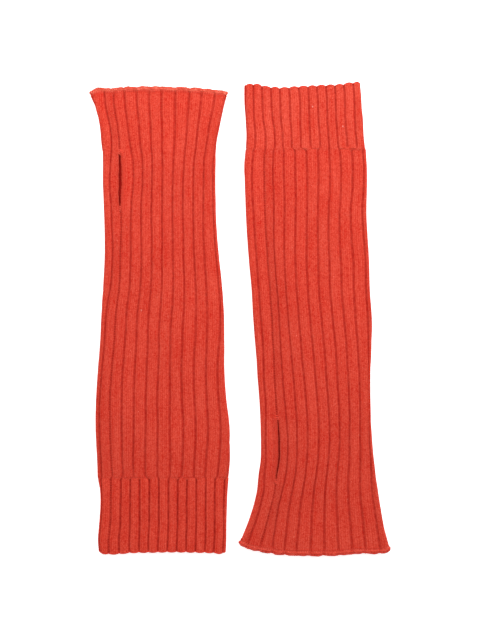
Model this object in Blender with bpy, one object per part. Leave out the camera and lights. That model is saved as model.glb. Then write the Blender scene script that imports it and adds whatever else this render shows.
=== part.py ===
"""A pair of long ribbed knit arm warmers, laid flat side by side.

Each warmer is a knitted tube in three stretches: a sleeve of broad ribs with a thumb slit, a cuff of narrower
ribs at the elbow, and the cast-off edge round the hand end. Lying flat, the tube is two layers with a thin
hollow between them. The left warmer has its hand end at the top (+Y), the right one at the bottom.

Sizes are in millimetres until a mesh is made. X runs across, Y along the warmers, Z up from the table.
"""
from dataclasses import dataclass
from math import cos, pi, sin

import bmesh
import bpy
import numpy as np

MM = 0.001

# The cloth: two layers and the hollow that the arm goes through
UNDER_LAYER = 2.0
HOLLOW = 0.6
UPPER_LAYER = 2.4
THICKNESS = UNDER_LAYER + HOLLOW + UPPER_LAYER
SEAM_GAP = 0.3

# The ribs
SLEEVE_RIBS = 22
CUFF_RIBS = 26
GROOVE_DEPTH = 1.3
SHOULDER_DROP = 0.15
SHOULDER = 0.09        # half a groove's width, as a share of a rib
EDGE_RELIEF = 0.35     # how much of the grooves is left in the cast-off edge
FLAT_CROWN = (0.5,)    # places across a rib of the points along its crown
FOLD_CROWN = (0.27, 0.5, 0.73)       # the same where the rib goes round a fold
SIDE_RIBS = 2          # ribs past the outermost marked groove that still show at a fold
FOLD_RIBS = 2          # ribs at each side that take the fold's extra points
FLAT_FROM, FLAT_TO = -0.25, -0.75    # upward share of the normal between which the ribs die away underneath

# Lengthwise places
EDGE_BAND = 4.2        # height of the cast-off edge
EDGE_REACH = 60.0      # how far in from an end the rows still follow its curve
ROUNDING = 1.2         # length over which a stretch rounds off at its end
STEP = 17.0            # spacing of the rings along a stretch

LEFT_LINE, RIGHT_LINE = -68.5, 60.0    # X of the line that each warmer's own sizes are measured from

RED_WOOL = (0.70, 0.062, 0.034, 1.0)
RED_WOOL_CUFF = (0.66, 0.056, 0.031, 1.0)
RED_WOOL_EDGE = (0.76, 0.078, 0.045, 1.0)


def table(names, rows):
    """Named columns of numbers, from rows sorted by their first number."""
    return dict(zip(names.split(), np.array(sorted(rows)).T))


# The sleeves' outlines, and the grooves on either side of the thumb slit's own groove and at the far side.
LEFT_SLEEVE = table("y left before slit after last right", [
    (199.0, -59.5, -47.0, -39.5, -30.0, 48.0, 58.0),
    (192.5, -58.7, -46.7, -39.0, -29.7, 47.4, 57.4),
    (181.0, -55.0, -45.6, -38.5, -29.2, 45.7, 54.8),
    (166.0, -51.2, -42.3, -36.0, -27.2, 42.7, 51.5),
    (148.0, -49.1, -40.5, -34.0, -25.0, 40.1, 48.2),
    (135.0, -47.9, -41.5, -33.5, -22.5, 38.0, 47.6),
    (118.0, -48.0, -42.8, -33.2, -22.2, 37.4, 47.3),
    (90.0, -46.9, -41.0, -32.7, -24.2, 37.2, 47.8),
    (53.0, -46.4, -39.9, -33.2, -24.4, 38.2, 50.4),
    (29.0, -47.6, -41.2, -34.0, -25.3, 39.6, 52.9),
    (6.0, -49.0, -44.6, -36.9, -27.8, 40.5, 54.5),
    (-18.0, -50.0, -45.5, -38.2, -29.1, 40.3, 55.0),
    (-43.0, -52.0, -47.1, -40.5, -31.3, 39.4, 55.0),
    (-69.0, -53.6, -49.0, -42.1, -32.1, 40.2, 57.0),
    (-90.0, -54.0, -49.5, -42.0, -32.1, 41.3, 59.4),
    (-121.0, -52.6, -48.2, -40.9, -31.6, 39.5, 59.7),
    (-135.0, -52.1, -47.8, -40.0, -31.1, 38.5, 58.4),
])
RIGHT_SLEEVE = table("y left before slit after last right", [
    (144.5, -55.1, -48.7, -38.6, -31.5, 34.8, 46.7),
    (131.0, -56.2, -49.7, -39.5, -32.1, 35.7, 47.5),
    (114.0, -55.8, -50.0, -39.3, -31.9, 35.5, 47.8),
    (93.0, -55.0, -48.9, -38.8, -31.4, 34.1, 47.2),
    (72.0, -53.9, -47.8, -37.8, -31.4, 34.5, 48.1),
    (50.0, -52.3, -46.1, -36.5, -30.5, 36.1, 49.4),
    (25.0, -50.1, -44.2, -34.6, -28.6, 36.6, 50.1),
    (-1.0, -48.5, -42.1, -32.8, -26.8, 38.3, 51.9),
    (-26.0, -46.5, -40.3, -31.6, -25.4, 40.1, 51.4),
    (-52.0, -44.6, -39.7, -30.5, -23.8, 41.4, 50.6),
    (-73.0, -43.0, -38.0, -29.1, -21.9, 42.0, 50.8),
    (-103.0, -42.0, -37.6, -26.7, -19.4, 41.9, 52.1),
    (-120.0, -42.2, -37.6, -26.9, -19.9, 42.1, 53.7),
    (-132.0, -43.9, -39.3, -29.0, -21.1, 42.0, 55.0),
    (-145.0, -45.4, -39.9, -30.2, -24.0, 41.9, 56.9),
    (-161.0, -49.1, -43.5, -33.9, -27.6, 43.3, 59.4),
    (-176.5, -54.6, -48.3, -38.0, -30.0, 44.7, 62.3),
    (-187.5, -59.2, -52.2, -41.2, -31.6, 45.8, 65.1),
    (-202.0, -64.4, -56.6, -44.7, -33.6, 47.3, 69.4),
])
# The cuffs' outlines, with the first and the last groove that shows.
LEFT_CUFF = table("y left first last right", [
    (-134.5, -52.0, -41.7, 47.5, 58.4),
    (-149.0, -50.0, -41.5, 47.0, 57.2),
    (-162.0, -50.1, -41.7, 46.9, 56.5),
    (-175.0, -51.2, -42.3, 47.0, 56.2),
    (-188.0, -52.0, -43.6, 46.6, 56.0),
    (-201.0, -51.0, -43.6, 45.7, 55.4),
])
RIGHT_CUFF = table("y left first last right", [
    (202.0, -56.1, -48.5, 36.0, 42.2),
    (186.5, -56.1, -48.2, 37.2, 43.3),
    (169.5, -55.1, -47.9, 37.4, 44.5),
    (157.0, -54.4, -47.2, 38.3, 45.2),
    (144.5, -55.0, -47.8, 39.7, 46.6),
])
# Which groove each column above marks, counted from the left with the slit's or the first one as 0.
SLEEVE_MARKS = ((-1, "before"), (0, "slit"), (1, "after"), (8, "last"))
CUFF_MARKS = ((0, "first"), (11, "last"))

# How far each end stands out past its nominal place, at shares of the width from left to right.
LEFT_HAND_END = table("across out", [
    (0.0, -3.0), (0.07, -0.4), (0.15, -1.2), (0.28, 0.2), (0.5, 1.0),
    (0.66, 0.8), (0.75, -0.5), (0.86, -1.7), (0.95, -2.6), (1.0, -3.4),
])
LEFT_CUFF_END = table("across out", [
    (0.0, -0.6), (0.04, 0.7), (0.11, 1.4), (0.26, 0.1), (0.42, -0.2), (0.76, -0.2), (0.93, 0.1), (1.0, -1.2),
])
RIGHT_CUFF_END = table("across out", [
    (0.0, 0.2), (0.04, 1.6), (0.12, 1.3), (0.24, -1.6), (0.31, -1.9), (0.44, -0.4),
    (0.67, 0.8), (0.83, 1.7), (0.95, 3.1), (1.0, 2.0),
])
RIGHT_HAND_END = table("across out", [
    (0.0, -8.9), (0.085, -4.2), (0.15, -2.5), (0.265, 0.3), (0.45, 0.7), (0.545, 1.1),
    (0.66, 0.1), (0.77, -1.0), (0.9, -1.1), (0.96, -1.8), (1.0, -4.4),
])

# Soft swells of the upper layer: centre, half length across and along, and height.
LEFT_SWELLS = (
    (0.0, 196.0, 46.0, 40.0, 1.2),
    (14.0, 128.0, 26.0, 44.0, 0.7),
    (-12.0, 58.0, 24.0, 60.0, 0.6),
    (20.0, -14.0, 24.0, 66.0, 0.8),
    (-22.0, -76.0, 22.0, 52.0, 0.7),
    (22.0, -112.0, 26.0, 40.0, 0.6),
    (2.0, -199.0, 42.0, 30.0, 0.9),
)
RIGHT_SWELLS = (
    (-6.0, 199.0, 42.0, 30.0, 0.9),
    (-22.0, 118.0, 22.0, 52.0, 0.6),
    (16.0, 84.0, 22.0, 56.0, 0.7),
    (-4.0, 8.0, 26.0, 62.0, 0.7),
    (24.0, -56.0, 20.0, 50.0, 0.7),
    (10.0, -122.0, 26.0, 44.0, 0.6),
    (4.0, -200.0, 48.0, 42.0, 1.2),
)


@dataclass(frozen=True)
class End:
    """A free end of a tube: its nominal place along Y and the curve that its edge follows."""

    y: float
    curve: dict

    def outward(self):
        """The way along Y that leads out of this end."""
        return 1.0 if self.y > 0 else -1.0

    def shift(self, across, y):
        """How far a row at y moves along Y at a share of the width, more the nearer it lies to the end."""
        near = max(0.0, 1.0 - abs(self.y - y) / EDGE_REACH)
        fade = near * near * (3.0 - 2.0 * near)
        return through(self.curve["across"], self.curve["out"], across) * fade * self.outward()


@dataclass(frozen=True)
class Stretch:
    """One knitted stretch of a tube: its outline, its marked grooves, its count of ribs and its free end."""

    outline: dict
    marks: tuple
    ribs: int
    end: End
    swells: tuple

    def at(self, column, y):
        """The outline's named column at y."""
        return through(self.outline["y"], self.outline[column], y)

    def width(self, y):
        """The tube's width at y, from fold to fold."""
        return self.at("right", y) - self.at("left", y)

    def first_rib(self):
        """Number of the first rib that shows, at the left fold."""
        return self.marks[0][0] - SIDE_RIBS

    def shown_ribs(self):
        """How many ribs show, from fold to fold."""
        return self.marks[-1][0] + SIDE_RIBS - self.first_rib()

    def arc(self, number, y):
        """Arc length round the tube, from its left fold over the top, of a groove or a place between grooves."""
        numbers = [mark for mark, _ in self.marks]
        arcs = [arc_of_top(self.at(column, y) - self.at("left", y)) for _, column in self.marks]
        pitch = (arcs[-1] - arcs[-2]) / (numbers[-1] - numbers[-2])
        numbers = [numbers[0] - SIDE_RIBS] + numbers + [numbers[-1] + SIDE_RIBS]
        arcs = [arcs[0] - SIDE_RIBS * pitch] + arcs + [arcs[-1] + SIDE_RIBS * pitch]
        numbers.append(numbers[0] + self.ribs)
        arcs.append(arcs[0] + round_length(self.width(y), THICKNESS))
        return float(np.interp(number, numbers, arcs))


@dataclass(frozen=True)
class Ring:
    """One ring of a tube: its place, how far it is drawn in, its share of relief and its scallop depth."""

    y: float
    inset: float = 0.0
    relief: float = 1.0
    scallop: float = 0.0


def through(xs, values, x):
    """A smooth curve through a table's points, read at x."""
    x = min(max(x, xs[0]), xs[-1])
    slopes = np.gradient(values, xs)
    i = min(int(np.searchsorted(xs, x, side="right")) - 1, len(xs) - 2)
    span = xs[i + 1] - xs[i]
    t = (x - xs[i]) / span
    start, end = values[i] * (1 + 2 * t) + slopes[i] * span * t, values[i + 1] * (3 - 2 * t)
    return float(start * (1 - t) ** 2 + (end - slopes[i + 1] * span * (1 - t)) * t * t)


def round_length(width, height):
    """Length round a flattened tube with half-round folds."""
    return 2 * (width - height) + pi * height


def arc_of_top(across):
    """Arc length from the left fold of a point on the flat upper side, that far from the left edge."""
    half = THICKNESS / 2
    return pi * half / 2 + across - half


def flattened_tube(arc, width, height):
    """Point and outward normal at an arc length round a flattened tube whose left fold is at 0."""
    half, flat = height / 2, width - height
    quarter = pi * half / 2
    arc = arc % round_length(width, height)
    if arc < quarter:
        angle, centre = pi - arc / half, half
    elif arc < quarter + flat:
        return (half + arc - quarter, height), (0.0, 1.0)
    elif arc < 3 * quarter + flat:
        angle, centre = pi / 2 - (arc - quarter - flat) / half, half + flat
    elif arc < 3 * quarter + 2 * flat:
        return (half + flat - (arc - 3 * quarter - flat), 0.0), (0.0, -1.0)
    else:
        angle, centre = -pi / 2 - (arc - 3 * quarter - 2 * flat) / half, half
    normal = (cos(angle), sin(angle))
    return (centre + half * normal[0], half + half * normal[1]), normal


def lift(swells, x, y):
    """Height that the soft swells add to the upper layer."""
    total = 0.0
    for centre_x, centre_y, half_x, half_y, height in swells:
        far = ((x - centre_x) / half_x) ** 2 + ((y - centre_y) / half_y) ** 2
        total += height * max(0.0, 1.0 - far) ** 2
    return total


def raised(stretch, x, y, z):
    """A point with the swells added, which move the upper layer and leave the lower one flat."""
    share = min(max((z - UNDER_LAYER) / HOLLOW, 0.0), 1.0)
    return x * MM, y * MM, (z + share * lift(stretch.swells, x, y)) * MM


def rib_profile(stretch):
    """The (number, groove depth) of each point round the outside: full ribs where they show, one point elsewhere."""
    points = []
    first, past_shown = stretch.first_rib(), stretch.first_rib() + stretch.shown_ribs()
    for rib in range(first, past_shown):
        at_fold = min(rib - first, past_shown - 1 - rib) < FOLD_RIBS
        points += [(rib, GROOVE_DEPTH), (rib + SHOULDER, SHOULDER_DROP)]
        points += [(rib + share, 0.0) for share in (FOLD_CROWN if at_fold else FLAT_CROWN)]
        points.append((rib + 1 - SHOULDER, SHOULDER_DROP))
    return points + [(rib, 0.0) for rib in range(past_shown, first + stretch.ribs)]


def hollow_profile(stretch):
    """The numbers of the points round the hollow: each groove and crown of the outside."""
    return [number for number, _ in rib_profile(stretch) if float(2 * number).is_integer()]


def outside(stretch, number, y, inward):
    """Distance from the left edge, and height, of a point on the outside, drawn inward where the ribs show."""
    (x, z), normal = flattened_tube(stretch.arc(number, y), stretch.width(y), THICKNESS)
    inward *= min(max((normal[1] - FLAT_TO) / (FLAT_FROM - FLAT_TO), 0.0), 1.0)
    return x - inward * normal[0], z - inward * normal[1]


def inside(stretch, number, y):
    """Distance from the left edge, and height, of a point on the wall of the flat hollow."""
    hollow = stretch.width(y) - 2 * UPPER_LAYER
    arc = stretch.arc(number, y) * round_length(hollow, HOLLOW) / round_length(stretch.width(y), THICKNESS)
    (x, z), _ = flattened_tube(arc, hollow, HOLLOW)
    return UPPER_LAYER + x, UNDER_LAYER + z


def on_row(stretch, row_y, find, back=0.0):
    """A point of the row at row_y, once the row follows its end's curve; back moves it away from the end."""
    x, _ = find(row_y)
    y = row_y + stretch.end.shift(x / stretch.width(row_y), row_y)
    x, z = find(y)
    return raised(stretch, stretch.at("left", y) + x, y - stretch.end.outward() * back, z)


def outer_ring(stretch, ring):
    """The points of one ring of the tube's outside, ribs and all."""
    return [
        on_row(
            stretch, ring.y, lambda y: outside(stretch, number, y, depth * ring.relief + ring.inset),
            back=ring.scallop * depth / GROOVE_DEPTH,
        )
        for number, depth in rib_profile(stretch)
    ]


def inner_ring(stretch, ring):
    """The points of one ring of the flat hollow."""
    return [on_row(stretch, ring.y, lambda y: inside(stretch, number, y)) for number in hollow_profile(stretch)]


def close_end(mesh, stretch, outer, inner):
    """Fill the end of the wall between its outer and inner ring, walking round both by their numbers."""
    outer_at = [number for number, _ in rib_profile(stretch)] + [stretch.first_rib() + stretch.ribs]
    inner_at = hollow_profile(stretch) + [stretch.first_rib() + stretch.ribs]
    i = j = 0
    while i < len(outer) or j < len(inner):
        here, there = outer[i % len(outer)], inner[j % len(inner)]
        if j == len(inner) or (i < len(outer) and outer_at[i + 1] <= inner_at[j + 1]):
            i += 1
            mesh.faces.new((here, there, outer[i % len(outer)]))
        else:
            j += 1
            mesh.faces.new((here, there, inner[j % len(inner)]))


def knit_tube(name, stretch, rings, material, warmer):
    """Loft one stretch of a tube through its rings as a closed wall and hang it on its warmer's empty."""
    mesh = bmesh.new()
    walls = []
    for make in (outer_ring, inner_ring):
        loops = [[mesh.verts.new(point) for point in make(stretch, ring)] for ring in rings]
        for low, high in zip(loops, loops[1:]):
            for k in range(len(low)):
                nxt = (k + 1) % len(low)
                mesh.faces.new((low[k], low[nxt], high[nxt], high[k]))
        walls.append(loops)
    outer, inner = walls
    for end in (0, -1):
        close_end(mesh, stretch, outer[end], inner[end])
    bmesh.ops.recalc_face_normals(mesh, faces=mesh.faces)
    data = bpy.data.meshes.new(name)
    mesh.to_mesh(data)
    mesh.free()
    data.shade_smooth()
    data.set_sharp_from_angle(angle=pi / 5)
    piece = bpy.data.objects.new(name, data)
    piece.parent = warmer
    data.materials.append(material)
    bpy.data.collections["arm_warmers"].objects.link(piece)
    return piece


def rows_between(start, end):
    """Evenly spaced places along Y, from start to end, about a step apart."""
    return np.linspace(start, end, round(abs(end - start) / STEP) + 1)


def sleeve_rings(hand_y, cuff_y):
    """The sleeve's rings, with both ends rounded off a little where the next stretch begins."""
    way = 1.0 if cuff_y > hand_y else -1.0
    rings = [Ring(hand_y, inset=0.4), Ring(hand_y + way * ROUNDING)]
    rings += [Ring(y) for y in rows_between(hand_y, cuff_y)[1:-1]]
    return rings + [Ring(cuff_y - way * ROUNDING), Ring(cuff_y, inset=0.5)]


def cuff_rings(sleeve_y, free_y):
    """The cuff's rings, with rounded rib ends at its free edge."""
    way = 1.0 if free_y > sleeve_y else -1.0
    rings = [Ring(sleeve_y, inset=0.5), Ring(sleeve_y + way * ROUNDING)]
    rings += [Ring(y) for y in rows_between(sleeve_y, free_y)[1:-1]]
    return rings + [Ring(free_y - way * ROUNDING, scallop=0.3), Ring(free_y, inset=0.6, relief=0.6, scallop=0.9)]


def edge_rings(sleeve_y, free_y):
    """The cast-off edge's rings: a soft roll with the grooves nearly gone."""
    way = 1.0 if free_y > sleeve_y else -1.0
    low, high = EDGE_RELIEF, EDGE_RELIEF / 2
    return [
        Ring(sleeve_y, inset=0.5, relief=low),
        Ring(sleeve_y + way * ROUNDING, relief=low),
        Ring(free_y - way * ROUNDING, relief=high, scallop=0.2),
        Ring(free_y, inset=0.8, relief=high, scallop=0.5),
    ]


def slit_cutter(name, stretch, top, bottom, width, warmer):
    """A tall lens-shaped cutter along the slit's groove, from inside the hollow up through the upper layer."""
    mesh = bmesh.new()
    sides = 20
    bmesh.ops.create_circle(mesh, cap_ends=True, segments=sides, radius=1.0)
    for vert in mesh.verts:
        along, across = vert.co.y, vert.co.x
        y = (top + bottom) / 2 + along * (top - bottom) / 2
        vert.co = ((stretch.at("slit", y) + across * width / 2) * MM, y * MM, (UNDER_LAYER + HOLLOW / 2) * MM)
    pulled = bmesh.ops.extrude_face_region(mesh, geom=mesh.faces[:])
    raised_verts = [item for item in pulled["geom"] if isinstance(item, bmesh.types.BMVert)]
    bmesh.ops.translate(mesh, verts=raised_verts, vec=(0, 0, 2 * THICKNESS * MM))
    bmesh.ops.recalc_face_normals(mesh, faces=mesh.faces)
    data = bpy.data.meshes.new(name)
    mesh.to_mesh(data)
    mesh.free()
    cutter = bpy.data.objects.new(name, data)
    cutter.parent = warmer
    cutter.hide_render = True
    cutter.display_type = "WIRE"
    bpy.data.collections["cutters"].objects.link(cutter)
    return cutter


def cut(piece, cutter):
    """Cut a piece with a cutter."""
    boolean = piece.modifiers.new("thumb slit", "BOOLEAN")
    boolean.operation = "DIFFERENCE"
    boolean.solver = "EXACT"
    boolean.object = cutter


def wool(name, colour):
    """Soft wool, rough and without gloss."""
    material = bpy.data.materials.new(name)
    material.use_nodes = True
    shader = material.node_tree.nodes["Principled BSDF"]
    shader.inputs["Base Color"].default_value = colour
    shader.inputs["Roughness"].default_value = 0.92
    shader.inputs["Metallic"].default_value = 0.0
    return material


def warmer_empty(name, line):
    """The empty that carries one warmer's pieces, on the line that its sizes are measured from."""
    empty = bpy.data.objects.new(name, None)
    empty.location = (line * MM, 0.0, 0.0)
    bpy.data.collections["arm_warmers"].objects.link(empty)
    return empty


def build_warmer(side, line, sleeve, cuff, slit):
    """Build one warmer's sleeve, cuff and cast-off edge, and cut its thumb slit (top, bottom, width)."""
    warmer = warmer_empty(f"{side}_warmer", line)
    hand_y, cuff_y = sleeve.end.y, cuff.end.y
    way = 1.0 if hand_y > 0 else -1.0
    join_y = sleeve.outline["y"][0 if way > 0 else -1] + way * SEAM_GAP
    band_y = hand_y - way * EDGE_BAND
    body = knit_tube(f"{side}_sleeve", sleeve, sleeve_rings(band_y - way * SEAM_GAP, join_y),
                     wool(f"{side} sleeve wool", RED_WOOL), warmer)
    cut(body, slit_cutter(f"{side} thumb slit cutter", sleeve, *slit, warmer))
    knit_tube(f"{side}_cuff", cuff, cuff_rings(join_y - way * SEAM_GAP, cuff_y),
              wool(f"{side} cuff wool", RED_WOOL_CUFF), warmer)
    knit_tube(f"{side}_hand_edge", sleeve, edge_rings(band_y, hand_y),
              wool(f"{side} edge wool", RED_WOOL_EDGE), warmer)


def main():
    """Clear the scene and build both warmers."""
    for thing in list(bpy.data.objects):
        bpy.data.objects.remove(thing)
    for name in ("arm_warmers", "cutters"):
        bpy.context.scene.collection.children.link(bpy.data.collections.new(name))

    left_hand, left_elbow = End(197.0, LEFT_HAND_END), End(-198.4, LEFT_CUFF_END)
    right_hand, right_elbow = End(-200.3, RIGHT_HAND_END), End(198.3, RIGHT_CUFF_END)
    build_warmer(
        "left", LEFT_LINE,
        Stretch(LEFT_SLEEVE, SLEEVE_MARKS, SLEEVE_RIBS, left_hand, LEFT_SWELLS),
        Stretch(LEFT_CUFF, CUFF_MARKS, CUFF_RIBS, left_elbow, LEFT_SWELLS),
        slit=(140.6, 95.7, 2.6),
    )
    build_warmer(
        "right", RIGHT_LINE,
        Stretch(RIGHT_SLEEVE, SLEEVE_MARKS, SLEEVE_RIBS, right_hand, RIGHT_SWELLS),
        Stretch(RIGHT_CUFF, CUFF_MARKS, CUFF_RIBS, right_elbow, RIGHT_SWELLS),
        slit=(-85.6, -135.7, 1.7),
    )


main()
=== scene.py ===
"""Looks of a pair of long ribbed knit arm warmers, laid flat side by side.

Each warmer gets a knitted shell for its sleeve, its cuff and its cast-off edge. Geometry Nodes press the ribs
and the columns of stitches into the shells, and make the chain along the cast-off edge, the sewn stitches and
the wool's fuzz. Sizes are in millimetres until a mesh is made. X runs across, Y along the warmers, Z up.
"""
import logging
from collections.abc import Sequence
from dataclasses import dataclass, field, replace
from enum import Enum
from functools import cached_property
from math import pi, radians

import bmesh
import bpy
import numpy as np
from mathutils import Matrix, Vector


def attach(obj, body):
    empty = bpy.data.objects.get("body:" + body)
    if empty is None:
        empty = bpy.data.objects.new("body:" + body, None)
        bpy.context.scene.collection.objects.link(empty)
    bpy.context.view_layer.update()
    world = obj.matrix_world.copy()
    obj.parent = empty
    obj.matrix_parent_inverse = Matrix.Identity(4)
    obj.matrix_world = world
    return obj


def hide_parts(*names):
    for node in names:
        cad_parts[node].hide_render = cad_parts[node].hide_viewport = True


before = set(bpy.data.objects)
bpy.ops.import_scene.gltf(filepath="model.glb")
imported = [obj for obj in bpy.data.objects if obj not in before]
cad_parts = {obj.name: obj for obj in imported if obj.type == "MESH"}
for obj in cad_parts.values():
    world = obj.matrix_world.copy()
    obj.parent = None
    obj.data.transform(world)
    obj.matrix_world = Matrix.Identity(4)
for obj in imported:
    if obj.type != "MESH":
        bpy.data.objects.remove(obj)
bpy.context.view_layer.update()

MM = 0.001
BODY = "root"
log = logging.getLogger("arm_warmers")

Array = np.ndarray
Colour = tuple[float, float, float, float]
Columns = dict[str, Array]
Socket = bpy.types.NodeSocket
Tree = bpy.types.NodeTree
Node = bpy.types.Node
Material = bpy.types.Material
Piece = bpy.types.Object

# The cloth: two layers and the hollow that the arm goes through
UNDER_LAYER = 2.0
HOLLOW = 0.6
UPPER_LAYER = 2.4
THICKNESS = UNDER_LAYER + HOLLOW + UPPER_LAYER

# The knit
SLEEVE_RIBS, SLEEVE_WALES = 22, 6     # ribs all round, and columns of stitches from one groove to the next
CUFF_RIBS, CUFF_WALES = 26, 5
ROW_HEIGHT = 1.3                      # height of one row of stitches
GROOVE_DEPTH = 1.3
GROOVE_REACH = 0.88                   # half a groove's width, in columns of stitches
SIDE_RIBS = 2                         # ribs past the outermost marked groove that still show at a fold
UNDERSIDE_GROOVES = 0.6               # share of the grooves' depth on the side that lies on the table
FOLD_SWELL = 0.5                      # how far the wool springs out at the folds

# Lengthwise places
EDGE_BAND = 4.2
EDGE_REACH = 60.0
JOIN_REACH = 1.5                      # length over which a groove swerves to meet its partner at the join
LOBE_REACH = 7.0                      # length over which the cast-off edge's waves die out
BUMP_REACH = 3.0                      # length over which the bumps at a free end die out
UNDER_SET_BACK = 0.85                 # how far a free end's underside stands back, as a share of its bumps

LEFT_LINE, RIGHT_LINE = -68.5, 60.0
CLEARANCE = 0.05                      # height of the lowest yarn over the table


def table(names: str, rows: Sequence[tuple[float, ...]]) -> Columns:
    """Named columns of numbers, from rows sorted by their first number."""
    return dict(zip(names.split(), np.array(sorted(rows)).T))


# The sleeves' outlines, and the grooves on either side of the thumb slit's own groove and at the far side.
LEFT_SLEEVE = table("y left before slit after last right", [
    (199.0, -59.5, -47.0, -39.5, -30.0, 48.0, 58.0),
    (192.5, -58.7, -46.7, -39.0, -29.7, 47.4, 57.4),
    (181.0, -55.0, -45.6, -38.5, -29.2, 45.7, 54.8),
    (166.0, -51.2, -42.3, -36.0, -27.2, 42.7, 51.5),
    (148.0, -49.1, -40.5, -34.0, -25.0, 40.1, 48.2),
    (135.0, -47.9, -41.5, -33.5, -22.5, 38.0, 47.6),
    (118.0, -48.0, -42.8, -33.1, -22.2, 37.4, 47.3),
    (99.0, -47.3, -41.7, -33.6, -23.6, 37.3, 47.6),
    (90.0, -46.9, -41.0, -32.8, -24.2, 37.2, 47.8),
    (53.0, -46.4, -39.9, -33.2, -24.4, 38.2, 50.4),
    (29.0, -47.6, -41.2, -34.0, -25.3, 39.6, 52.9),
    (6.0, -49.0, -44.6, -36.9, -27.8, 40.5, 54.5),
    (-18.0, -50.0, -45.5, -38.2, -29.1, 40.3, 55.0),
    (-43.0, -52.0, -47.1, -40.5, -31.3, 39.4, 55.0),
    (-69.0, -53.6, -49.0, -42.1, -32.1, 40.2, 57.0),
    (-90.0, -54.0, -49.5, -42.0, -32.1, 41.3, 59.4),
    (-121.0, -52.6, -48.2, -40.9, -31.6, 39.5, 59.7),
    (-135.0, -52.1, -47.8, -40.0, -31.1, 38.5, 58.4),
])
RIGHT_SLEEVE = table("y left before slit after last right", [
    (144.5, -55.1, -48.7, -38.6, -31.5, 34.8, 46.7),
    (131.0, -56.2, -49.7, -39.5, -32.1, 35.7, 47.5),
    (114.0, -55.8, -50.0, -39.3, -31.9, 35.5, 47.8),
    (93.0, -55.0, -48.9, -38.8, -31.4, 34.1, 47.2),
    (72.0, -53.9, -47.8, -37.8, -31.4, 34.5, 48.1),
    (50.0, -52.3, -46.1, -36.5, -30.5, 36.1, 49.4),
    (25.0, -50.1, -44.2, -34.6, -28.6, 36.6, 50.1),
    (-1.0, -48.5, -42.1, -32.8, -26.8, 38.3, 51.9),
    (-26.0, -46.5, -40.3, -31.6, -25.4, 40.1, 51.4),
    (-52.0, -44.6, -39.7, -30.5, -23.8, 41.4, 50.6),
    (-73.0, -43.0, -38.0, -29.1, -21.9, 42.0, 50.8),
    (-103.0, -42.0, -37.6, -27.0, -19.4, 41.9, 52.1),
    (-120.0, -42.2, -37.6, -27.2, -19.9, 42.1, 53.7),
    (-132.0, -43.9, -39.3, -29.0, -21.1, 42.0, 55.0),
    (-145.0, -45.4, -39.9, -30.2, -24.0, 41.9, 56.9),
    (-161.0, -49.1, -43.5, -33.9, -27.6, 43.3, 59.4),
    (-176.5, -54.6, -48.3, -38.0, -30.0, 44.7, 62.3),
    (-187.5, -59.2, -52.2, -41.2, -31.6, 45.8, 65.1),
    (-202.0, -64.4, -56.6, -44.7, -33.6, 47.3, 69.4),
])
# The cuffs' outlines, with the first and the last groove that shows.
LEFT_CUFF = table("y left first last right", [
    (-134.5, -52.0, -41.7, 47.5, 58.6),
    (-149.0, -50.0, -41.5, 47.0, 57.6),
    (-162.0, -50.1, -41.7, 46.9, 57.0),
    (-175.0, -51.2, -42.3, 47.0, 56.7),
    (-188.0, -52.0, -43.6, 46.6, 56.5),
    (-201.0, -51.0, -43.6, 45.7, 55.9),
])
RIGHT_CUFF = table("y left first last right", [
    (202.0, -56.1, -48.5, 36.0, 42.2),
    (186.5, -56.1, -48.2, 37.2, 43.3),
    (169.5, -55.1, -47.9, 37.4, 44.5),
    (157.0, -54.4, -47.2, 38.3, 45.2),
    (144.5, -55.0, -47.8, 39.7, 46.6),
])
# Which groove each column above marks, counted from the left with the slit's or the first one as 0.
SLEEVE_MARKS = ((-1, "before"), (0, "slit"), (1, "after"), (8, "last"))
CUFF_MARKS = ((0, "first"), (11, "last"))

# How far the grooves between those marks lie from even spacing, by their number.
LEFT_STRAYS = table("y -1 2 3 4 5 6 7 9", [
    (198.0, 0.0, -0.8, -1.3, -1.8, -1.1, 0.0, -0.4, -1.0),
    (154.0, 0.0, -0.4, -0.5, -0.7, 0.5, 0.9, 0.4, -1.0),
    (128.0, 0.3, -0.7, -1.1, -0.9, -0.3, 0.1, 0.2, 0.0),
    (104.0, 0.6, -0.6, -0.8, -0.5, -0.3, -0.2, 0.0, 0.0),
    (78.0, 0.0, 0.2, 0.1, 0.3, 0.3, 0.5, 0.3, 0.5),
    (50.0, 0.1, 0.1, 0.0, -0.3, 0.0, 0.1, 0.3, 1.4),
    (14.0, -0.3, -0.3, -0.6, -0.7, -0.4, -0.1, 0.3, 1.6),
    (-10.0, -0.9, -0.6, -0.9, -1.3, -1.5, -1.1, 0.1, 1.2),
    (-38.0, -1.6, 0.1, 0.2, 0.0, -0.3, -0.6, -0.1, -0.2),
    (-68.0, -1.8, 0.1, -0.1, -0.8, -0.3, -0.4, -0.2, -0.4),
    (-90.0, -1.6, -0.2, -0.4, -0.8, -1.2, -0.2, 0.1, 0.2),
    (-118.0, -1.6, -1.0, -1.0, -0.9, 0.0, 0.3, 0.4, 1.0),
    (-136.0, -1.2, -0.9, -0.9, -0.6, 0.1, 0.3, 0.4, 0.6),
])
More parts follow.
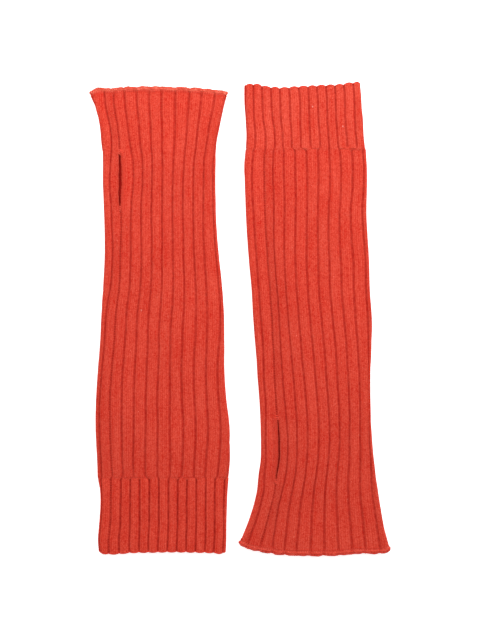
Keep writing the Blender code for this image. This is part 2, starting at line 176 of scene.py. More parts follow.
RIGHT_STRAYS = table("y -1 2 3 4 5 6 7 9", [
    (146.0, 0.1, -0.8, -1.0, -0.6, -0.4, -0.5, -0.7, -0.1),
    (122.0, 0.1, -0.4, -0.4, 0.0, 0.0, 0.0, -0.3, 0.1),
    (92.0, 0.1, -0.2, 0.0, 0.2, 0.0, 0.0, 0.0, 0.4),
    (68.0, 0.2, -0.6, -0.9, -0.3, -0.4, -0.9, -0.8, 1.0),
    (48.0, 0.2, -1.4, -1.7, -1.6, -1.1, -1.3, -1.1, 1.1),
    (24.0, 0.1, -1.8, -1.9, -1.8, -1.6, -1.4, -1.0, 1.1),
    (-4.0, -0.1, -1.4, -1.8, -1.4, -1.2, -0.9, -0.5, 1.0),
    (-30.0, 0.0, -0.7, -1.1, -0.6, -0.2, -0.1, -0.3, -0.3),
    (-54.0, 0.1, -0.1, -0.3, 0.0, 0.0, 0.0, -0.1, -0.5),
    (-80.0, -0.5, -0.1, -0.2, 0.6, 0.5, 0.1, 0.0, -0.6),
    (-106.0, -0.9, -1.0, -0.8, -0.1, 0.4, 0.1, -0.3, -0.4),
    (-132.0, 0.0, -0.9, -1.3, -1.1, -1.3, -1.4, -0.7, 0.5),
    (-160.0, 0.1, -0.8, -1.6, -1.3, -1.2, -0.9, -0.6, 0.8),
    (-202.0, 0.2, -0.9, -1.8, -1.7, -1.2, -0.2, 0.2, 1.0),
])
LEFT_CUFF_STRAYS = table("y 0 1 2 3 4 5 6 7 8 9 10", [
    (-136.0, 0.4, 0.8, 0.7, 0.6, 0.7, 0.6, 1.0, 0.7, 0.3, 0.2, 0.2),
    (-164.0, 0.4, 0.6, 0.7, 0.7, 0.8, 0.9, 1.0, 0.8, 0.4, 0.4, 0.5),
    (-176.0, 0.4, 0.8, 1.1, 1.3, 1.1, 1.3, 1.2, 0.8, 0.5, 0.5, 0.5),
    (-199.0, 0.3, 1.3, 1.9, 2.0, 1.8, 1.8, 1.5, 1.3, 1.1, 0.9, 0.7),
])
RIGHT_CUFF_STRAYS = table("y 0 1 2 3 4 5 6 7 8 9 10", [
    (146.0, 0.2, 1.5, 1.5, 0.4, -0.1, -0.2, 0.1, 0.3, -0.2, -0.2, -0.1),
    (161.0, 0.0, 0.8, 1.0, -0.3, -0.2, -0.1, -0.1, 0.4, 0.0, 0.0, -0.2),
    (172.0, -0.3, -0.3, -0.2, -0.8, -0.4, 0.4, 0.2, 0.2, 0.0, -0.3, -0.2),
    (200.0, -0.1, -0.7, -0.8, -1.2, -1.0, -0.5, -0.2, -0.6, -0.2, -0.4, -0.6),
])

# How far each end stands out past its nominal place, at shares of the width from left to right.
LEFT_HAND_END = table("across out", [
    (0.0, -3.0), (0.07, -0.1), (0.15, -0.6), (0.28, 0.5), (0.5, 0.5),
    (0.66, 0.2), (0.75, -0.5), (0.86, -1.2), (0.95, -2.4), (1.0, -3.3),
])
LEFT_CUFF_END = table("across out", [
    (0.0, 0.0), (0.04, 1.2), (0.11, 1.5), (0.26, 0.3), (0.42, -0.1), (0.56, -0.4), (0.76, 0.0),
    (0.93, 0.7), (0.97, 1.1), (1.0, 0.1),
])
RIGHT_CUFF_END = table("across out", [
    (0.0, 1.3), (0.04, 1.9), (0.12, 1.7), (0.18, 0.0), (0.24, -0.6), (0.31, -1.1), (0.44, -0.3),
    (0.67, 0.9), (0.83, 1.8), (0.92, 3.2), (0.97, 3.5), (1.0, 3.0),
])
RIGHT_HAND_END = table("across out", [
    (0.0, -8.9), (0.085, -4.5), (0.15, -3.1), (0.265, -0.4), (0.45, 0.4), (0.545, 0.8),
    (0.66, 0.1), (0.77, -1.1), (0.9, -1.1), (0.96, -1.8), (1.0, -4.4),
])

# Soft swells of the upper layer: centre, half length across and along, and height.
LEFT_SWELLS = (
    (0.0, 196.0, 46.0, 40.0, 1.2),
    (14.0, 128.0, 26.0, 44.0, 0.7),
    (-12.0, 58.0, 24.0, 60.0, 0.6),
    (20.0, -14.0, 24.0, 66.0, 0.8),
    (-22.0, -76.0, 22.0, 52.0, 0.7),
    (22.0, -112.0, 26.0, 40.0, 0.6),
    (2.0, -199.0, 42.0, 30.0, 0.9),
)
RIGHT_SWELLS = (
    (-6.0, 199.0, 42.0, 30.0, 0.9),
    (-22.0, 118.0, 22.0, 52.0, 0.6),
    (16.0, 84.0, 22.0, 56.0, 0.7),
    (-4.0, 8.0, 26.0, 62.0, 0.7),
    (24.0, -56.0, 20.0, 50.0, 0.7),
    (10.0, -122.0, 26.0, 44.0, 0.6),
    (4.0, -200.0, 48.0, 42.0, 1.2),
)


class Side(Enum):
    """Which of the two warmers."""

    LEFT = "left"
    RIGHT = "right"


class Stitch(Enum):
    """The shapes of yarn that run along a path."""

    CHAIN = "chain"      # closed links lying along the path
    BAR = "bar"          # short arched bars across the path
    LOOP = "loop"        # small loops standing out from the path


# Curves and sections

def through(xs: Array, values: Array, x: Array | float) -> Array:
    """A smooth curve through a table's points.

    Args:
        xs: The table's places, rising.
        values: The value at each place.
        x: Where to read the curve.

    Returns:
        The curve's value at each x.
    """
    x = np.clip(x, xs[0], xs[-1])
    slopes = np.gradient(values, xs)
    i = np.clip(np.searchsorted(xs, x, side="right") - 1, 0, len(xs) - 2)
    span = xs[i + 1] - xs[i]
    t = (x - xs[i]) / span
    start = values[i] * (1 + 2 * t) + slopes[i] * span * t
    end = values[i + 1] * (3 - 2 * t) - slopes[i + 1] * span * (1 - t)
    return start * (1 - t) ** 2 + end * t * t


def smooth(x: Array | float) -> Array:
    """A soft step from 0 to 1 as x goes from 0 to 1."""
    x = np.clip(x, 0.0, 1.0)
    return x * x * (3 - 2 * x)


def closeness(y: Array | float, place: float, reach: float) -> Array:
    """1 at a place along Y, easing to 0 that far from it."""
    return smooth(1.0 - np.abs(y - place) / reach)


def wrapped(value: Array | float, turn: float) -> Array | float:
    """A value brought within half a turn of 0."""
    return (value + turn / 2) % turn - turn / 2


def from_groove(numbers: Array) -> Array:
    """How far rib numbers lie from the nearest groove, in ribs."""
    return np.abs(wrapped(numbers, 1.0))


def underneath(outward: Array) -> Array:
    """1 where a wall faces the table and 0 on its upper side."""
    return smooth((-outward[..., 2] - 0.2) / 0.6)


def set_back(numbers: Array, outward: Array) -> Array:
    """How far a free end stands back, as a share of its bumps.

    Args:
        numbers: Rib numbers.
        outward: The way out of the wall at each.

    Returns:
        0 at a rib's middle, 1 in a groove, and most of 1 underneath.
    """
    under = underneath(outward)
    beside = (1.0 - 2.0 * from_groove(numbers)) ** 2
    return beside * (1.0 - under) + UNDER_SET_BACK * under


def girth(width: Array | float) -> Array:
    """Length round a flattened tube of this width, with half-round folds."""
    return 2 * (width - THICKNESS) + pi * THICKNESS


def arc_of_top(across: Array) -> Array:
    """Arc length from the left fold of a point on the flat upper side, that far from the left edge."""
    return pi * THICKNESS / 4 + across - THICKNESS / 2


def section(arc: Array, width: Array) -> tuple[Array, Array, Array]:
    """A flattened tube's section, from its left fold over the top to the right and back underneath.

    Args:
        arc: Arc lengths round the outside.
        width: The tube's width at each of them.

    Returns:
        The place across of the core line that each point stands on, and the outward normal's X and Z.
    """
    half, flat = THICKNESS / 2, width - THICKNESS
    quarter = pi * half / 2
    arc = arc % girth(width)
    on_top = (arc >= quarter) & (arc < quarter + flat)
    at_right = (arc >= quarter + flat) & (arc < 3 * quarter + flat)
    below = (arc >= 3 * quarter + flat) & (arc < 3 * quarter + 2 * flat)
    angle = np.select(
        [on_top, at_right, below, arc < quarter],
        [pi / 2, pi / 2 - (arc - quarter - flat) / half, -pi / 2, pi - arc / half],
        -pi / 2 - (arc - 3 * quarter - 2 * flat) / half,
    )
    core = np.select(
        [on_top, at_right, below],
        [half + arc - quarter, half + flat, half + flat - (arc - 3 * quarter - flat)],
        half,
    )
    return core, np.cos(angle), np.sin(angle)


@dataclass(frozen=True)
class FreeEnd:
    """A free end of a tube: its nominal place along Y, and the curve and the small lobes of its edge."""

    y: float
    curve: Columns
    lobe: float = 0.0       # how far a rib's end stands out past its grooves
    notch: float = 0.0      # number of the place where the edge dips, by its own depth
    notch_depth: float = 0.0

    @property
    def way(self) -> float:
        """The way along Y that leads out of this end."""
        return 1.0 if self.y > 0 else -1.0

    def shift(self, across: Array, y: Array) -> Array:
        """How far a row at y moves along Y at a share of the width, more the nearer it lies to the end."""
        near = closeness(y, self.y, EDGE_REACH)
        return through(self.curve["across"], self.curve["out"], across) * near * self.way

    def lobes(self, numbers: Array, ribs: int, y: Array) -> Array:
        """How far a row at y moves along Y with the edge's lobes, by the rib's number.

        Args:
            numbers: Rib numbers.
            ribs: Ribs all round.
            y: Places along Y.

        Returns:
            How far each point moves.
        """
        near = closeness(y, self.y, LOBE_REACH)
        lobe = np.abs(np.sin(pi * numbers)) ** 0.8 - 0.6
        turn = 2 * pi * numbers / ribs
        lobe = lobe + 0.45 * np.sin(7 * turn + 1.0) + 0.4 * np.sin(16 * turn + self.y)
        lobe = lobe + 0.3 * np.sin(39 * turn)
        far = wrapped(numbers - self.notch, ribs)
        dip = self.notch_depth * np.exp(-((far / 0.16) ** 2))
        return (self.lobe * lobe - dip) * near * self.way


@dataclass(frozen=True)
class Stretch:
    """One knitted stretch of a tube: outline, marked grooves, counts of ribs and stitches, and free end."""

    line: float
    outline: Columns
    marks: tuple[tuple[int, str], ...]
    ribs: int
    wales: int
    end: FreeEnd
    swells: tuple[tuple[float, ...], ...]
    join_y: float
    seed: int
    strays: Columns
    join_shifts: dict[int, float] = field(default_factory=dict)
    wander_size: float = 0.17

    TABLE_REACH = 207.0
    TABLE_STEP = 0.25

    def at(self, column: str, y: Array | float) -> Array:
        """The outline's named column at y."""
        return through(self.outline["y"], self.outline[column], y)

    def width(self, y: Array | float) -> Array:
        """The tube's width at y, from fold to fold."""
        return self.at("right", y) - self.at("left", y)

    @property
    def first_rib(self) -> int:
        """Number of the first rib that shows, at the left fold."""
        return self.marks[0][0] - SIDE_RIBS

    def local(self, number: int) -> int:
        """The same groove's number within one turn round the tube."""
        return self.first_rib + (number - self.first_rib) % self.ribs

    def measured_groove(self, number: int, y: Array) -> Array:
        """Arc length of a groove at y as its marks give it.

        Args:
            number: The groove's number, which may lie past one turn.
            y: Places along the tube.

        Returns:
            Arc lengths from the left fold, rising by a girth for each turn.
        """
        round_it = girth(self.width(y))
        numbers = [mark for mark, _ in self.marks]
        arcs = [arc_of_top(self.at(column, y) - self.at("left", y)) for _, column in self.marks]
        pitch = (arcs[-1] - arcs[-2]) / (numbers[-1] - numbers[-2])
        numbers = [numbers[0] - SIDE_RIBS, *numbers, numbers[-1] + SIDE_RIBS, self.first_rib + self.ribs]
        arcs = [arcs[0] - SIDE_RIBS * pitch, *arcs, arcs[-1] + SIDE_RIBS * pitch]
        arcs.append(arcs[0] + round_it)
        here = self.local(number)
        k = max(i for i in range(len(numbers) - 1) if numbers[i] <= here)
        share = (here - numbers[k]) / (numbers[k + 1] - numbers[k])
        turns = (number - here) // self.ribs
        return arcs[k] * (1 - share) + arcs[k + 1] * share + turns * round_it

    def wander(self, number: int, y: Array) -> Array:
        """How far a groove strays from its mark at y, by a few slow waves of its own."""
        random = np.random.default_rng((self.seed, self.local(number) + 50))
        total = np.zeros_like(np.asarray(y, float))
        for wavelength in (13.0, 31.0, 74.0):
            total += random.uniform(0.3, 1.0) * np.sin(2 * pi * (y / wavelength + random.uniform()))
        return total * self.wander_size * 0.6

    def settled_groove(self, number: int, y: Array) -> Array:
        """Arc length of a groove at y with how it strays from even spacing."""
        stray = 0.0
        if str(self.local(number)) in self.strays:
            stray = through(self.strays["y"], self.strays[str(self.local(number))], y)
        return self.measured_groove(number, y) + stray

    def groove(self, number: int, y: Array) -> Array:
        """Arc length of a groove at y, with its waves and its swerve at the join."""
        near = closeness(y, self.join_y, JOIN_REACH)
        swerve = self.join_shifts.get(self.local(number), 0.0) * near
        return self.settled_groove(number, y) + self.wander(number, y) * (1 - near) + swerve

    @cached_property
    def groove_table(self) -> Array:
        """Arc lengths of all the grooves once round, at even steps along Y."""
        y = np.arange(-self.TABLE_REACH, self.TABLE_REACH + self.TABLE_STEP, self.TABLE_STEP)
        return np.stack([self.groove(self.first_rib + k, y) for k in range(self.ribs + 1)], axis=1)

    def arc(self, numbers: Array, y: Array) -> Array:
        """Arc lengths at y of grooves and of places between them.

        Args:
            numbers: Rib numbers, which may have fractions and lie past one turn.
            y: Places along the tube, in the shape of the result.

        Returns:
            Arc lengths from the left fold.
        """
        turns = np.floor((numbers - self.first_rib) / self.ribs)
        within = numbers - self.first_rib - turns * self.ribs
        rib = np.minimum(within.astype(int), self.ribs - 1)
        place = (np.clip(y, -self.TABLE_REACH, self.TABLE_REACH) + self.TABLE_REACH) / self.TABLE_STEP
        step = np.minimum(place.astype(int), len(self.groove_table) - 2)
        across, along = within - rib, place - step
        start = self.groove_table[step, rib] * (1 - across) + self.groove_table[step, rib + 1] * across
        end = self.groove_table[step + 1, rib] * (1 - across) + self.groove_table[step + 1, rib + 1] * across
        return start * (1 - along) + end * along + turns * girth(self.width(y))

    def lift(self, x: Array, y: Array) -> Array:
        """Height that the soft swells add to the upper layer."""
        total = np.zeros_like(x)
        for centre_x, centre_y, half_x, half_y, height in self.swells:
            far = ((x - centre_x) / half_x) ** 2 + ((y - centre_y) / half_y) ** 2
            total += height * np.clip(1.0 - far, 0.0, None) ** 2
        return total

    def places(self, numbers: Array, rows: Array) -> tuple[Array, Array]:
        """Arc lengths and places along Y of a grid of rib numbers and rows, which follow the end's curve."""
        row_y = np.repeat(np.asarray(rows, float)[:, None], len(numbers), axis=1)
        core, nx, _ = section(self.arc(numbers, row_y), self.width(row_y))
        share = (core + nx * THICKNESS / 2) / self.width(row_y)
        y = row_y + self.end.shift(share, row_y) + self.end.lobes(numbers, self.ribs, row_y)
        return self.arc(numbers, y), y

    def outside(self, numbers: Array, rows: Array, depth: float = 0.0) -> tuple[Array, Array]:
        """The plain outside, before any relief.

        Args:
            numbers: Rib numbers, one for each column of the grid.
            rows: Places along Y, one for each row of the grid.
            depth: How far under the outside the points lie.

        Returns:
            Points and outward normals, each of shape (rows, numbers, 3), in millimetres.
        """
        arcs, y = self.places(numbers, rows)
        core, nx, nz = section(arcs, self.width(y))
        half = THICKNESS / 2
        x, z = core + (half - depth) * nx, half + (half - depth) * nz
        return self.placed(x, y, z), np.stack([nx, np.zeros_like(nx), nz], axis=-1)

    def hollow(self, numbers: Array, rows: Array) -> Array:
        """The wall of the flat hollow, on the same grid as the outside."""
        arcs, y = self.places(numbers, rows)
        core, nx, nz = section(arcs, self.width(y))
        half = HOLLOW / 2
        run = (self.width(y) - 2 * UPPER_LAYER - HOLLOW) / (self.width(y) - THICKNESS)
        x = UPPER_LAYER + half + (core - THICKNESS / 2) * run + half * nx
        return self.placed(x, y, UNDER_LAYER + half + half * nz)

    def placed(self, x: Array, y: Array, z: Array) -> Array:
        """Points in the row's frame, with the swells, which leave the lower layer flat."""
        x = self.at("left", y) + x
        share = np.clip((z - UNDER_LAYER) / HOLLOW, 0.0, 1.0)
        return np.stack([x + self.line, y, z + share * self.lift(x, y)], axis=-1)


def joined(sleeve: Stretch, cuff: Stretch, first_pair: tuple[int, int],
           new_grooves: Sequence[int]) -> tuple[Stretch, Stretch]:
    """Make each sleeve groove swerve to meet its cuff groove at the join.

    Args:
        sleeve: The sleeve.
        cuff: The cuff, which has more grooves.
        first_pair: A sleeve groove and the cuff groove that it runs into.
        new_grooves: The cuff's grooves that only begin at the join.

    Returns:
        The sleeve and the cuff with their swerves.
    """
    y = np.array([sleeve.join_y])
    round_it = float(girth(sleeve.width(y))[0])
    sleeve_shifts, cuff_shifts = {}, {}
    number, partner = first_pair
    skipped = {cuff.local(groove) for groove in new_grooves}
    for step in range(sleeve.ribs):
        while cuff.local(partner) in skipped:
            partner += 1
        apart = float((cuff.settled_groove(partner, y) - sleeve.settled_groove(number, y))[0])
        apart = wrapped(apart, round_it)
        sleeve_shifts[sleeve.local(number)] = apart / 2
        cuff_shifts[cuff.local(partner)] = -apart / 2
        number, partner = number + 1, partner + 1
    return replace(sleeve, join_shifts=sleeve_shifts), replace(cuff, join_shifts=cuff_shifts)


# Node trees

class Nodes:
    """Adds nodes to one tree and links them as they are made."""

    def __init__(self, tree: Tree) -> None:
        """Work in this tree."""
        self.tree = tree

    def add(self, kind: str, inputs: dict[str | int, object] | None = None, **settings: object) -> Node:
        """Add a node.

        Args:
            kind: The node's type.
            inputs: Values or sockets for its inputs, by name or place.
            settings: Values for its properties.

        Returns:
            The node.
        """
        node = self.tree.nodes.new(kind)
        for name, value in settings.items():
            setattr(node, name, value)
        for key, value in (inputs or {}).items():
            self.put(self.input(node, key), value)
        return node

    def input(self, node: Node, key: str | int) -> Socket:
        """A node's input by place, or the one in use of that name."""
        if isinstance(key, int):
            return node.inputs[key]
        return next(socket for socket in node.inputs if socket.name == key and socket.enabled)

    def put(self, socket: Socket, value: object) -> None:
        """Link a socket to this input, or set the input to this value."""
        if isinstance(value, bpy.types.NodeSocket):
            self.tree.links.new(value, socket)
        else:
            socket.default_value = value

    def out(self, kind: str, inputs: dict[str | int, object] | None = None, output: str | None = None,
            **settings: object) -> Socket:
        """Add a node and give its first output in use, or the one of that name."""
        node = self.add(kind, inputs, **settings)
        return next(s for s in node.outputs if s.enabled and (output is None or s.name == output))

    def math(self, operation: str, a: object, b: object = 0.0) -> Socket:
        """One step of arithmetic on two numbers."""
        return self.out("ShaderNodeMath", {0: a, 1: b}, operation=operation)

    def times(self, a: object, b: object) -> Socket:
        """The product of two numbers."""
        return self.math("MULTIPLY", a, b)

    def plus(self, a: object, b: object) -> Socket:
        """The sum of two numbers."""
        return self.math("ADD", a, b)

    def minus(self, a: object, b: object) -> Socket:
        """The first number less the second."""
        return self.math("SUBTRACT", a, b)

    def point(self, x: object, y: object, z: object) -> Socket:
        """A point from its three parts."""
        return self.out("ShaderNodeCombineXYZ", {0: x, 1: y, 2: z})

    def vector(self, operation: str, a: object, b: object = (0.0, 0.0, 0.0)) -> Socket:
        """One step of arithmetic on two vectors."""
        return self.out("ShaderNodeVectorMath", {0: a, 1: b}, operation=operation)

    def scaled(self, vector: object, factor: object) -> Socket:
        """A vector times a number."""
        return self.out("ShaderNodeVectorMath", {0: vector, "Scale": factor}, operation="SCALE")

    def ramp(self, value: object, low: float | Socket, high: float | Socket,
             start: float = 0.0, end: float = 1.0) -> Socket:
        """A soft step from start to end as the value goes from low to high."""
        return self.out(
            "ShaderNodeMapRange",
            {"Value": value, "From Min": low, "From Max": high, "To Min": start, "To Max": end},
            interpolation_type="SMOOTHSTEP",
        )

    def noise(self, vector: object, scale: float, detail: float = 2.0, seed: float | Socket = 0.0) -> Socket:
        """Smooth noise from about 0.3 to 0.7, with a fixed seed."""
        return self.out(
            "ShaderNodeTexNoise", {"Vector": vector, "W": seed, "Scale": scale, "Detail": detail},
            noise_dimensions="4D",
        )

    def mix(self, factor: object, a: object, b: object) -> Socket:
        """A mix of two colours."""
        return self.out("ShaderNodeMix", {"Factor": factor, "A": a, "B": b}, data_type="RGBA")


def new_tree(name: str, kind: str, inputs: Sequence[tuple[str, str, object]],
             outputs: Sequence[tuple[str, str]]) -> tuple[Tree, Nodes, dict[str, Socket], Node]:
    """Make a node tree with named sockets.

    Args:
        name: The tree's name.
        kind: GeometryNodeTree or ShaderNodeTree.
        inputs: Name, type and default of each input.
        outputs: Name and type of each output.

    Returns:
        The tree, its node maker, its inputs by name, and its output node.
    """
    tree = bpy.data.node_groups.new(name, kind)
    for label, socket_type, default in inputs:
        socket = tree.interface.new_socket(name=label, in_out="INPUT", socket_type=f"NodeSocket{socket_type}")
        if default is not None:
            socket.default_value = default
    for label, socket_type in outputs:
        tree.interface.new_socket(name=label, in_out="OUTPUT", socket_type=f"NodeSocket{socket_type}")
    given = {socket.name: socket for socket in tree.nodes.new("NodeGroupInput").outputs}
    return tree, Nodes(tree), given, tree.nodes.new("NodeGroupOutput")


def new_material(name: str) -> tuple[Material, Nodes, Node, Socket]:
    """Start a material.

    Args:
        name: The material's name.

    Returns:
        The material, its node maker, its shader, and its Object coordinates.
    """
    material = bpy.data.materials.new(name)
    material.use_nodes = True
    n = Nodes(material.node_tree)
    place = n.out("ShaderNodeTexCoord", output="Object")
    return material, n, material.node_tree.nodes["Principled BSDF"], place


def add_object(name: str, data: bpy.types.ID) -> Piece:
    """Put an object with this data into the scene.

    Args:
        name: The object's name.
        data: Its mesh, light or camera.

    Returns:
        The object, at the origin.
    """
    thing = bpy.data.objects.new(name, data)
    bpy.context.scene.collection.objects.link(thing)
    return thing


def rest_on_table(n: Nodes, geometry: Socket) -> Socket:
    """Keep every point of a geometry just above the table.

    Args:
        n: The tree's node maker.
        geometry: What is kept above the table.

    Returns:
        The geometry.
    """
    parts = n.add("ShaderNodeSeparateXYZ", {0: n.out("GeometryNodeInputPosition")})
    height = n.math("MAXIMUM", parts.outputs["Z"], CLEARANCE * MM)
    place = n.point(parts.outputs["X"], parts.outputs["Y"], height)
    return n.out("GeometryNodeSetPosition", {"Geometry": geometry, "Position": place})


def finish(n: Nodes, result: Node, geometry: Socket, material: Socket, on_table: bool = True) -> None:
    """End a geometry tree: make its copies real, keep them off the table and give them their material.

    Args:
        n: The tree's node maker.
        result: The tree's output node.
        geometry: What the tree has made.
        material: The material's socket.
        on_table: Whether the points are kept above the table.
    """
    real = n.out("GeometryNodeRealizeInstances", {"Geometry": geometry})
    if on_table:
        real = rest_on_table(n, real)
    n.put(result.inputs[0], n.out("GeometryNodeSetMaterial", {"Geometry": real, "Material": material}))


def apply_tree(piece: Piece, tree: Tree, values: dict[str, object]) -> Piece:
    """Run a Geometry Nodes tree on a piece and keep its result as the piece's plain mesh.

    Args:
        piece: The object that the tree works on.
        tree: The tree.
        values: A value for each named input that differs from its default.

    Returns:
        The piece.
    """
    modifier = piece.modifiers.new(tree.name, "NODES")
    modifier.node_group = tree
    identifiers = {s.name: s.identifier for s in tree.interface.items_tree if s.in_out == "INPUT"}
    for name, value in values.items():
        modifier[identifiers[name]] = value
    graph = bpy.context.evaluated_depsgraph_get()
    mesh = bpy.data.meshes.new_from_object(
        piece.evaluated_get(graph), preserve_all_data_layers=True, depsgraph=graph,
    )
    mesh.name = piece.name
    piece.modifiers.remove(modifier)
    piece.data = mesh
    mesh.shade_smooth()
    return piece


class RibRelief:
    """The tree that presses grooves and columns of stitches into a plain shell, and keeps the mask of its
    painted shade.
    """

    def __init__(self) -> None:
        """Build the tree."""
        self.tree, n, given, result = new_tree("Rib relief", "GeometryNodeTree", [
            ("Geometry", "Geometry", None),
            ("Wales a rib", "Float", 6.0),
            ("Groove depth", "Float", GROOVE_DEPTH * MM),
            ("Groove reach", "Float", GROOVE_REACH),
            ("Wale relief", "Float", 0.26 * MM),
            ("Crown drop", "Float", 0.28 * MM),
            ("Unevenness", "Float", 0.22 * MM),
            ("Seed", "Float", 1.0),
            ("Material", "Material", None),
        ], [("Geometry", "Geometry")])

        def read(name: str, kind: str = "FLOAT") -> Socket:
            """One of the shell's own attributes."""
            return n.out("GeometryNodeInputNamedAttribute", {"Name": name}, data_type=kind)

        half_rib = n.times(given["Wales a rib"], 0.5)
        wave = n.math("PINGPONG", read("rib"), 0.5)
        from_groove = n.times(wave, given["Wales a rib"])
        groove = n.ramp(from_groove, 0.0, given["Groove reach"], 1.0, 0.0)
        groove = n.times(groove, read("groove_share"))
        pressed = n.times(groove, given["Groove depth"])

        turn = n.math("COSINE", n.times(from_groove, pi))
        valley = n.minus(1.0, n.math("ABSOLUTE", turn))
        valley = n.times(valley, n.math("GREATER_THAN", from_groove, 1.0))
        valley = n.times(valley, given["Wale relief"])
        edge = n.minus(1.0, n.math("DIVIDE", from_groove, half_rib))
        crown = n.times(n.math("POWER", edge, 2.0), given["Crown drop"])
        place = n.out("GeometryNodeInputPosition")
        lumps = n.times(n.noise(place, 110.0, 1.0, given["Seed"]), given["Unevenness"])
        soft = n.plus(n.plus(valley, crown), lumps)
        soft = n.times(soft, read("knit_share"))

        depth = n.plus(n.plus(pressed, soft), read("crease"))
        offset = n.scaled(read("outward", "FLOAT_VECTOR"), n.times(depth, -1.0))
        moved = n.out("GeometryNodeSetPosition", {"Geometry": given["Geometry"], "Offset": offset})
        # Mask of painted shade: the grooves' depth or the shell's shade, whichever is more, kept as the
        # groove attribute
        hollow = n.math("MAXIMUM", groove, read("shade"))
        kept = n.out(
            "GeometryNodeStoreNamedAttribute", {"Geometry": moved, "Name": "groove", "Value": hollow},
            data_type="FLOAT", domain="POINT",
        )
        finish(n, result, kept, given["Material"], on_table=False)


@dataclass(frozen=True)
class StitchSize:
    """The size of one stitch and of its yarn, in millimetres."""

    length: float
    radius: float
    width: float = 1.6
    rise: float = 0.5


class StitchRun:
    """The tree that lays stitches of yarn along a path, by their shape."""

    def __init__(self, shape: Stitch) -> None:
        """Build the tree for one shape of stitch."""
        self.tree, n, given, result = new_tree(f"Run of {shape.value} stitches", "GeometryNodeTree", [
            ("Geometry", "Geometry", None),
            ("Count", "Int", 100),
            ("Length", "Float", 2.0 * MM),
            ("Width", "Float", 1.6 * MM),
            ("Rise", "Float", 0.5 * MM),
            ("Yarn radius", "Float", 0.4 * MM),
            ("Seed", "Int", 1),
            ("Material", "Material", None),
        ], [("Geometry", "Geometry")])
        profile = n.out("GeometryNodeCurvePrimitiveCircle", {"Resolution": 6, "Radius": given["Yarn radius"]})
        yarn = n.out("GeometryNodeCurveToMesh", {
            "Curve": self.centreline(shape, n, given), "Profile Curve": profile, "Fill Caps": True,
        })
        path = n.out("GeometryNodeMeshToCurve", {"Mesh": given["Geometry"]})
        points = n.out("GeometryNodeResampleCurve", {"Curve": path, "Count": given["Count"]}, mode="COUNT")
        up = n.out("GeometryNodeInputNamedAttribute", {"Name": "up"}, data_type="FLOAT_VECTOR")
        tangent = n.out("GeometryNodeInputTangent")
        along = n.out("FunctionNodeAlignRotationToVector", {"Vector": tangent}, axis="X")
        turned = n.out(
            "FunctionNodeAlignRotationToVector", {"Rotation": along, "Vector": up}, axis="Z", pivot_axis="X",
        )
        wobble = n.out("FunctionNodeRandomValue", {
            "Min": (-0.10, -0.12, -0.16), "Max": (0.10, 0.12, 0.16), "Seed": given["Seed"],
        }, data_type="FLOAT_VECTOR")
        turned = n.out(
            "FunctionNodeRotateRotation", {"Rotation": turned, "Rotate By": wobble}, rotation_space="LOCAL",
        )
        size = n.out("FunctionNodeRandomValue", {
            "Min": (0.88, 0.9, 0.85), "Max": (1.1, 1.1, 1.12), "Seed": n.plus(given["Seed"], 7.0),
        }, data_type="FLOAT_VECTOR")
        laid = n.out("GeometryNodeInstanceOnPoints", {
            "Points": points, "Instance": yarn, "Rotation": turned, "Scale": size,
        })
        finish(n, result, laid, given["Material"])

    def lay(self, name: str, line: tuple[Array, Array], count: int, size: StitchSize, seed: int,
            material: Material, closed: bool = False) -> Piece:
        """Lay stitches along a line.

        Args:
            name: The piece's name.
            line: The line's points, in millimetres, and the way out of the cloth at each.
            count: How many stitches.
            size: The size of one.
            seed: Seed of their unevenness.
            material: The yarn's material.
            closed: Whether the line closes on itself.

        Returns:
            The piece.
        """
        return apply_tree(path_piece(name, *line, closed), self.tree, {
            "Count": count, "Length": size.length * MM, "Width": size.width * MM, "Rise": size.rise * MM,
            "Yarn radius": size.radius * MM, "Seed": seed, "Material": material,
        })

    @staticmethod
    def centreline(shape: Stitch, n: Nodes, given: dict[str, Socket]) -> Socket:
        """The line that one stitch's yarn follows, along X with Z outwards.

        Args:
            shape: The stitch's shape.
            n: The tree's node maker.
            given: The tree's inputs by name.

        Returns:
            The curve.
        """
        half_length = n.times(given["Length"], 0.5)
        half_width = n.times(given["Width"], 0.5)
        back, left = (n.times(half, -1.0) for half in (half_length, half_width))
        if shape is Stitch.CHAIN:
            ring = n.out("GeometryNodeCurvePrimitiveCircle", {"Resolution": 10, "Radius": 1.0})
            return n.out("GeometryNodeTransform", {
                "Geometry": ring, "Rotation": (0.0, radians(-16.0), 0.0),
                "Scale": n.point(half_length, half_width, 1.0),
            })
        if shape is Stitch.BAR:
            return n.out("GeometryNodeCurveQuadraticBezier", {
                "Resolution": 6,
                "Start": n.point(n.times(half_length, -0.3), left, 0.0),
                "Middle": n.point(0.0, 0.0, given["Rise"]),
                "End": n.point(n.times(half_length, 0.3), half_width, 0.0),
            })
        return n.out("GeometryNodeCurveQuadraticBezier", {
            "Resolution": 7,
            "Start": n.point(back, 0.0, 0.0),
            "Middle": n.point(0.0, 0.0, n.times(given["Rise"], 2.0)),
            "End": n.point(half_length, 0.0, 0.0),
        })


